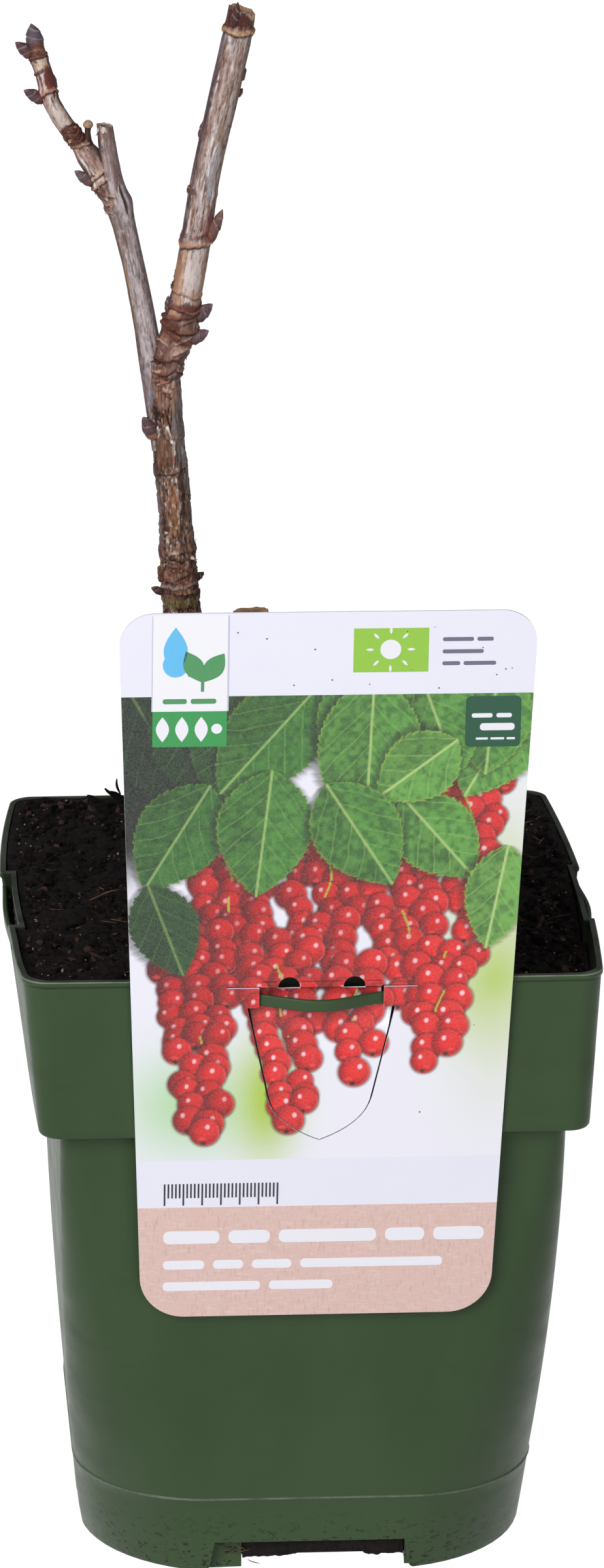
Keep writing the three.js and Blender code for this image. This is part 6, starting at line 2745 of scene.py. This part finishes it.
    def paint(self, u: Array, v: Array) -> Array:
        """Colours of the picture at places of the card.

        Args:
            u: Places across the card.
            v: Places up the card.

        Returns:
            One colour a place.
        """
        colour = self.ground(u, v)
        rng = np.random.default_rng(self.seed)
        for truss in self.trusses:
            rows = int(truss.drop / (self.fruit * 0.92))
            for row in range(rows):
                share = row / max(rows - 1, 1)
                middle = truss.u + truss.lean * share + 1.4 * math.sin(2.3 * row + truss.u)
                wide = truss.half * (1 - 0.55 * share**1.6)
                count = max(1, int(round(2 * wide / (self.fruit * 1.75))))
                for k in range(count):
                    u0 = middle + wide * (2 * (k + 0.5) / count - 1) + rng.uniform(-1.1, 1.1)
                    v0 = truss.v - truss.drop * share + rng.uniform(-1.4, 1.4)
                    bright = float(np.clip(truss.bright + 0.5 * share - 0.1 + rng.uniform(-0.3, 0.3), 0, 1))
                    radius = self.fruit * rng.uniform(0.88, 1.1)
                    self.one_fruit(colour, u - u0, v - v0, radius, bright, 7.3 * u0 + 3.1 * v0)
            line = truss.u + truss.lean * (truss.v - v) / truss.drop + 0.8 * np.sin(v * 0.4)
            stalk = (np.abs(u - line) < 0.28) & (v < truss.v) & (v > truss.v - 0.55 * truss.drop)
            stalk &= grain(xyz(truss.u, v * 0.25, 0), 8, 1) > 0.45
            colour[stalk] = rgb(196, 190, 84)
        for leaf in self.leaves:
            self.leaf(colour, u, v, leaf)
        return np.clip(self.depth[1] * colour ** self.depth[0], 0, 1)


@dataclass
class Card:
    """Plant card: a printed white plate with a tongue behind the strap."""

    thickness: float = 0.6
    foot: float = -92.6
    top: float = 110.0
    top_half: float = 53.85
    foot_half: float = 47.15
    foot_corner: float = 12.0
    hang: Pair = (-77.0, 172.0)
    lean: float = 4.6
    cut: float = 0.5
    ear_half: float = 16.4
    ear_out: float = 25.0
    ear_top: float = 4.1
    hole_out: float = 8.6
    hole_half: float = 3.1
    tongue_top_half: float = 19.0
    tongue_level: float = -2.3
    shoulder: Pair = (13.4, -28.0)
    tongue_tip: float = -40.2
    bend_v: tuple[float, ...] = (-41.2, -15.3, -7.8, -2.9, 2.7, 4.1, 5.3)
    bend_w: tuple[float, ...] = (0.4, 0.0, -0.5, -2.75, -2.75, -0.1, 0.0)
    picture_top: float = 87.0
    picture_split: float = 22.0
    picture_foot: float = -46.0
    kraft_top: float = -60.0
    cell: float = 0.33
    ink: float = 0.04
    picture: Picture = field(default_factory=Picture)

    def placed(self, surface: Surface) -> Surface:
        """The surface, across, up and out of the card, moved to where it hangs.

        Args:
            surface: Any surface drawn on the card.

        Returns:
            This surface.
        """
        u, v, w = surface.points.T
        y, z = about(v, w, math.pi / 2 + math.radians(self.lean))
        surface.points = xyz(CARD_CENTRE_X + u, self.hang[0] + y, self.hang[1] + z)
        return surface

    def half_at(self, v: Values) -> Array:
        """Half width of the card's taper at a height.

        Args:
            v: Heights on the card.

        Returns:
            One half width a height.
        """
        low, high = self.foot + self.foot_corner, self.top - 9.0
        share = (np.asarray(v, float) - low) / (high - low)
        return lerp(self.foot_half, self.top_half, share)

    def tongue_outline(self, margin: float) -> Array:
        """Outline of the tongue and its neck.

        Args:
            margin: How far it is grown.

        Returns:
            Its corners, two numbers each.
        """
        neck, top = self.ear_half - self.cut + margin, self.tongue_top_half + margin
        half, level = self.shoulder
        tip = self.tongue_tip - margin
        t = np.linspace(0, 1, 17)[1:]
        curve_u = (half + margin) * (1 - t) ** 2 + 2 * (half - 1.5) * t * (1 - t)
        curve_v = level * (1 - t) ** 2 + 2 * (tip + 4.6) * t * (1 - t) + tip * t**2
        high = self.ear_top + (1.9 if margin == 0 else 0)
        ledge = self.tongue_level + margin
        u = np.concatenate([[neck, neck, top, half + margin], curve_u])
        v = np.concatenate([[high, ledge, ledge, level], curve_v])
        return mirrored(u[:-1], v[:-1], u[-1:], v[-1:])

    def hole(self, side: int) -> Surface:
        """Half-round hinge hole on one side of the middle.

        Args:
            side: -1 for the left, 1 for the right.

        Returns:
            The closed cut.
        """
        angle = np.linspace(0, math.pi, 15)
        u = np.concatenate([[-self.hole_half, self.hole_half], 2.9 * np.cos(angle)]) + side * self.hole_out
        v = self.ear_top + np.concatenate([[-1.6, -1.6], 2.9 * np.sin(angle)])
        return prism(np.column_stack([u, v]))

    def ear_cut(self, side: int) -> Surface:
        """Level cut above an ear.

        Args:
            side: -1 for the left, 1 for the right.

        Returns:
            The closed cut.
        """
        near, far = side * (self.ear_half - self.cut), side * self.ear_out
        v = self.ear_top + np.array([-0.5, -0.5, 0.5, 0.5]) * self.cut
        return prism(np.column_stack([[near, far, far, near], v]))

    def sheet(self, low: float, high: float) -> Surface:
        """Dense thin slab over the card's width between two heights.

        Args:
            low: Its foot.
            high: Its top.

        Returns:
            The closed slab.
        """
        v = np.linspace(low, high, int((high - low) / self.cell))[:, None]
        u = np.linspace(-1, 1, int(2 * self.top_half / self.cell)) * (self.half_at(v) - 0.02)
        return slab(xyz(u, v, self.thickness / 2 + self.ink), self.thickness / 2 + LAYER_GAP)

    def strip(self, v: Array, left: Values, right: Values) -> Surface:
        """Thin slab that follows the tongue's bend, front and back alike.

        Args:
            v: Heights of its rows.
            left: Left edge of the rows.
            right: Right edge of the rows.

        Returns:
            The closed strip.
        """
        left, right = (edge + 0 * v for edge in (left, right))
        columns = max(3, int(float(np.max(right - left)) / self.cell))
        u = lerp(left[:, None], right[:, None], np.linspace(0, 1, columns))
        face = np.interp(v, self.bend_v, self.bend_w)[:, None] + self.thickness / 2
        front, back = (xyz(u, v[:, None], face + above) for above in (self.ink, LAYER_GAP))
        return sleeve(np.concatenate([front, back[:, ::-1]], axis=1))

    def tongue_sheet(self) -> Surface:
        """The tongue's print: its blade, its neck, and the bits by the holes.

        Returns:
            The closed strips.
        """
        outline = self.tongue_outline(0.0)
        edge = outline[outline[:, 0] >= 0][3:][::-1]
        level, foot = self.tongue_level, self.ear_top - 1.6
        v = np.linspace(self.tongue_tip + 0.02, level, int((level - self.tongue_tip) / self.cell))
        half = np.interp(v, [*edge[:, 1], level], [*edge[:, 0], self.tongue_top_half]) - 0.01
        neck = self.ear_half - self.cut - 0.01
        near, far = self.hole_out - self.hole_half, self.hole_out + self.hole_half
        spans = [(-neck, -far), (-near, near), (far, neck)]
        parts = [self.strip(v, -half, half), self.strip(np.linspace(level, foot, 15), -neck, neck)]
        top = np.linspace(foot, self.ear_top + 1.85, 11)
        return joined(parts + [self.strip(top, low, high) for low, high in spans])

    def printed(self) -> dict[str, Surface]:
        """The picture's pieces, painted and hung on the card.

        Returns:
            The pieces by name.
        """
        lower = self.sheet(self.picture_foot, self.picture_split)
        lower = carved(lower, prism(self.tongue_outline(self.cut)))
        lower = carved(lower, joined([self.hole(-1), self.hole(1)]))
        lower = carved(lower, joined([self.ear_cut(-1), self.ear_cut(1)]))
        upper = self.sheet(self.picture_split, self.picture_top)
        pieces = {"print_upper": upper, "print_lower": lower, "print_tongue": self.tongue_sheet()}
        for surface in pieces.values():
            surface.colours = self.picture.paint(surface.points[:, 0], surface.points[:, 1])
            self.placed(surface)
        return pieces

    def kraft(self) -> Surface:
        """Band of kraft look across the card's foot, with its corners.

        Returns:
            The closed band.
        """
        angle = np.linspace(-math.pi / 2, 0, 13)
        corner, half = self.foot_corner - 0.03, self.foot_half - 0.03
        top = float(self.half_at(self.kraft_top)) - 0.03
        u = np.concatenate([half - corner + corner * np.cos(angle), [top]])
        v = np.concatenate([self.foot + 0.03 + corner + corner * np.sin(angle), [self.kraft_top]])
        return self.plate(mirrored(u, v), 0)

    def plate(self, outline: Array, layer: float) -> Surface:
        """Thin printed shape on the card, on a layer above others."""
        low = self.thickness / 2 + LAYER_GAP + layer * self.ink
        return self.placed(prism(outline, low, low + self.ink)).outward()

    def bar(self, low: Pair, high: Pair, layer: float = 1, corner: float = 0.0) -> Surface:
        """Upright rectangle.

        Args:
            low: Its lower left corner.
            high: Its upper right corner.
            layer: Layer that it is printed on.
            corner: Radius of its corners, or 0.

        Returns:
            The closed shape.
        """
        u, v = (np.array([high[k], low[k], low[k], high[k]]) for k in (0, 1))
        if corner <= 0:
            return self.plate(np.column_stack([u[[1, 0, 0, 1]], v[[1, 1, 0, 0]]]), layer)
        angle = np.linspace(0, math.pi / 2, 7)
        parts = []
        for k, (side, up) in enumerate(((-1, -1), (1, -1), (1, 1), (-1, 1))):
            turn = angle + k * math.pi / 2
            middle = np.array([u[k] + side * corner, v[[0, 0, 1, 1][k]] + up * corner])
            parts.append(middle + corner * np.column_stack([np.cos(turn), np.sin(turn)]))
        return self.plate(np.concatenate(parts), layer)

    def disc(self, u: float, v: float, half_u: float, half_v: float, layer: float = 1) -> Surface:
        """Printed round or oval spot."""
        angle = full_turn(28)
        return self.plate(np.column_stack([u + half_u * np.cos(angle), v + half_v * np.sin(angle)]), layer)

    def pointed(self, u: float, v: float, long: float, half: float, turn: float, layer: float = 1) -> Surface:
        """Printed pointed oval.

        Args:
            u: Place of its foot across the card.
            v: Place of its foot up the card.
            long: Its length.
            half: Half its width.
            turn: Its direction in degrees.
            layer: Layer that it is printed on.

        Returns:
            The closed shape.
        """
        t = np.linspace(0, 1, 13)
        x = np.concatenate([t, t[-2:0:-1]]) * long
        y = np.concatenate([np.sin(math.pi * t), -np.sin(math.pi * t[-2:0:-1])]) * half
        x, y = about(x, y, math.radians(turn))
        return self.plate(np.column_stack([u + x, v + y]), layer)

    def words(self, u: float, low: float, high: float, widths: Numbers, gap: float, layer: int = 1) -> Parts:
        """A row of round-ended bars in place of words.

        Args:
            u: Where the row begins.
            low: Foot of the bars.
            high: Top of the bars.
            widths: Their lengths.
            gap: Space between them.
            layer: Layer that they are printed on.

        Returns:
            The bars.
        """
        parts = []
        for width in widths:
            parts.append(self.bar((u, low), (u + width, high), layer, 0.42 * (high - low)))
            u += width + gap
        return parts

    def specks(self, seed: int, low: Numbers, high: Numbers, count: int) -> list[Surface]:
        """Small dark specks at random places with random radii."""
        spots = np.random.default_rng(seed).uniform(low, high, (count, 3)).tolist()
        return [self.disc(u, v, r, r) for u, v, r in spots]

    def marks(self) -> dict[Ink, list[Surface]]:
        """All flat printed marks.

        Returns:
            The marks by ink.
        """
        sun, foot = (16, 99.5), -53
        rays = []
        for a in full_turn(8):
            u, v = sun[0] + 4.2 * math.cos(a), sun[1] + 4.2 * math.sin(a)
            rays.append(self.pointed(u, v, 2.2, 0.35, math.degrees(a), 2))
        ticks = [self.bar((k - 41, foot), (k - 40.55, foot - (4.2 if k % 5 else 6.4)), 0) for k in range(31)]
        words = self.words
        return {
            Ink("ink_panel", rgb(247, 247, 253), 0.08): [self.bar((-45.2, 82.9), (-26.0, 109.4), 1)],
            Ink("ink_shade", rgb(206, 206, 222), 0.08): [
                self.bar((-45.5, 82.9), (-45.2, 109.4)),
                self.bar((-26.0, 82.9), (-25.6, 109.4)),
            ],
            Ink("ink_green", rgb(62, 156, 86)): [self.bar((-45.2, 73.0), (-26.0, 82.9), 2)],
            Ink("ink_sky", rgb(104, 196, 246)): [
                self.disc(-39.4, 95.8, 3.3, 3.4, 2),
                self.pointed(-39.4, 92.8, 13.5, 3.1, 90, 2.6),
            ],
            Ink("ink_leaf", rgb(84, 152, 98)): [
                self.pointed(-32.2, 91.0, 9.6, 2.6, 56, 2),
                self.pointed(-32.6, 91.0, 9.6, 2.6, 116, 2.6),
                self.bar((-32.8, 88.4), (-32.0, 92.4), 3.2),
                *words(-42.6, 85.0, 86.4, [6.2, 6.6], 1.0, 2),
            ],
            Ink("ink_lime", rgb(152, 204, 72)): [self.bar((6.4, 93.2), (25.8, 105.4), 0)],
            Ink("ink_white", PRINT_WHITE, 0.08): [
                self.disc(*sun, 2.7, 2.7),
                *rays,
                *[self.pointed(u, 74.4, 7.0, 1.7, 90, 3) for u in (-42.6, -37.6, -32.6)],
                self.disc(-28.6, 78.0, 1.4, 1.4, 3),
                *words(37.4, 80.2, 81.4, [5.4, 4.0], 1.0, 2),
                *words(39.6, 76.6, 78.6, [9.0], 0.9, 2),
                *words(38.6, 74.0, 74.6, [3.2, 3.6, 2.2], 0.6, 2),
                *words(-41, -70.8, -67.0, [15, 11, 26, 10.5, 13.5], 2.4),
                *words(-41, -78.4, -75.8, [11, 8, 10.5, 38], 2.4),
                *words(-41, -84.8, -82.2, [26, 17], 2.4),
            ],
            Ink("ink_slate", rgb(112, 112, 134)): [
                *words(29.4, 101.6, 102.7, [8.0, 4.2], 0.9, 0),
                *words(29.4, 98.2, 99.3, [10.6], 0.9, 0),
                *words(29.4, 94.9, 96.0, [4.6, 8.4], 0.9, 0),
            ],
            Ink("ink_badge", rgb(36, 84, 62)): [self.bar((35.8, 72.0), (50.2, 86.2), 1, 1.3)],
            Ink("ink_black", rgb(34, 32, 42)): ticks,
            Ink("ink_specks", rgb(88, 78, 74)): [
                *self.specks(3, (-44, 88, 0.1), (50, 108, 0.26), 16),
                *self.specks(4, (-44, -58, 0.1), (44, 86, 0.24), 20),
            ],
        }

    def place(self, bench: Bench) -> None:
        """Gives the card its material and puts the print on it.

        Args:
            bench: Puts the pieces in.
        """
        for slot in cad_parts["label_card"].material_slots:
            slot.material = CardStock().material()
        picture = PictureInk().material()
        for name, surface in self.printed().items():
            bench.put(name, surface, picture)
        bench.put("print_kraft", self.kraft(), KraftInk().material())
        for ink, shapes in self.marks().items():
            bench.put(ink.name, joined(shapes), ink.material())


# The studio.


@dataclass(frozen=True)
class Studio:
    """Pale floor, soft light and the camera of the photograph."""

    floor_size: float = 24.0
    world: float = 0.22
    key: float = 45.5
    fill: float = 8.5

    def floor(self) -> None:
        """A large plain floor under the pot."""
        mesh = bpy.data.meshes.new("floor")
        half = self.floor_size / 2
        corners = [(-half, -half, 0), (half, -half, 0), (half, half, 0), (-half, half, 0)]
        mesh.from_pydata(corners, [], [(0, 1, 2, 3)])
        mesh.materials.append(StudioFloor().material())
        floor = linked("floor", mesh)
        floor.visible_diffuse = False

    def light(self, name: str, at: Numbers, size: float, power: float) -> None:
        """A square soft light that looks at the bush's middle.

        Args:
            name: Its name.
            at: Where it stands, in metres.
            size: Its edge, in metres.
            power: Its power in watts.
        """
        data = bpy.data.lights.new(name, "AREA")
        data.size = size
        data.energy = power
        lamp = linked(name, data)
        lamp.location = at
        lamp.rotation_euler = (Vector((0, 0, 0.15)) - Vector(at)).to_track_quat("-Z", "Y").to_euler()

    def camera(self, bench: Bench) -> None:
        """The camera that was fitted to the photograph.

        Its back direction comes from the azimuth and the height angle, its
        right is level, and both are rolled about the line of sight.

        Args:
            bench: Gives the place that it looks at.
        """
        azimuth, height, roll = (math.radians(a) for a in (CAMERA_AZIMUTH, CAMERA_HEIGHT_ANGLE, CAMERA_ROLL))
        away = math.cos(height)
        back = Vector((math.sin(azimuth) * away, -math.cos(azimuth) * away, math.sin(height)))
        right = Vector((0, 0, 1)).cross(back).normalized()
        up = back.cross(right)
        turned_right = math.cos(roll) * right + math.sin(roll) * up
        turned_up = -math.sin(roll) * right + math.cos(roll) * up
        data = bpy.data.cameras.new("photo_camera")
        data.sensor_width = SENSOR_MM
        data.sensor_fit = "AUTO"
        data.lens = PHOTO_FOCAL_PX / PHOTO_HEIGHT * SENSOR_MM
        data.clip_end = 50
        matrix = Matrix((turned_right, turned_up, back)).transposed().to_4x4()
        matrix.translation = Vector(bench.framed(np.array(CAMERA_AIM)).tolist()) + back * CAMERA_DISTANCE * MM
        camera = linked("photo_camera", data)
        camera.matrix_world = matrix
        bpy.context.scene.camera = camera

    def build(self, bench: Bench) -> None:
        """Sets the whole studio up.

        Args:
            bench: Gives the camera's aim.
        """
        scene = bpy.context.scene
        scene.view_settings.view_transform = "Standard"
        world = bpy.data.worlds.new("studio")
        world.use_nodes = True
        sky = world.node_tree.nodes["Background"]
        sky.inputs["Color"].default_value = (1.0, 1.0, 1.0, 1.0)
        sky.inputs["Strength"].default_value = self.world
        scene.world = world
        self.floor()
        self.light("key", (-1.1, -1.7, 1.3), 1.3, self.key)
        self.light("fill", (0.7, -2.1, 0.5), 1.2, self.fill)
        self.camera(bench)


def main() -> None:
    """Builds every piece in order, then the studio."""
    logging.basicConfig(level=logging.INFO, format="%(message)s")
    bench = Bench.from_frame()
    pot = Pot()
    pot.place(bench)
    Soil(pot).place(bench)
    bark = Bark("bark").material()
    shoot = Bark("shoot", 0.4, 0.08, 0.58).material()
    for limb in (stem(), left_limb(), right_limb(), low_limb()):
        limb.place(bench, bark)
    tip_shoot().place(bench, shoot)
    Card().place(bench)
    Studio().build(bench)
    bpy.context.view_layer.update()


if __name__ == "__main__":
    main()
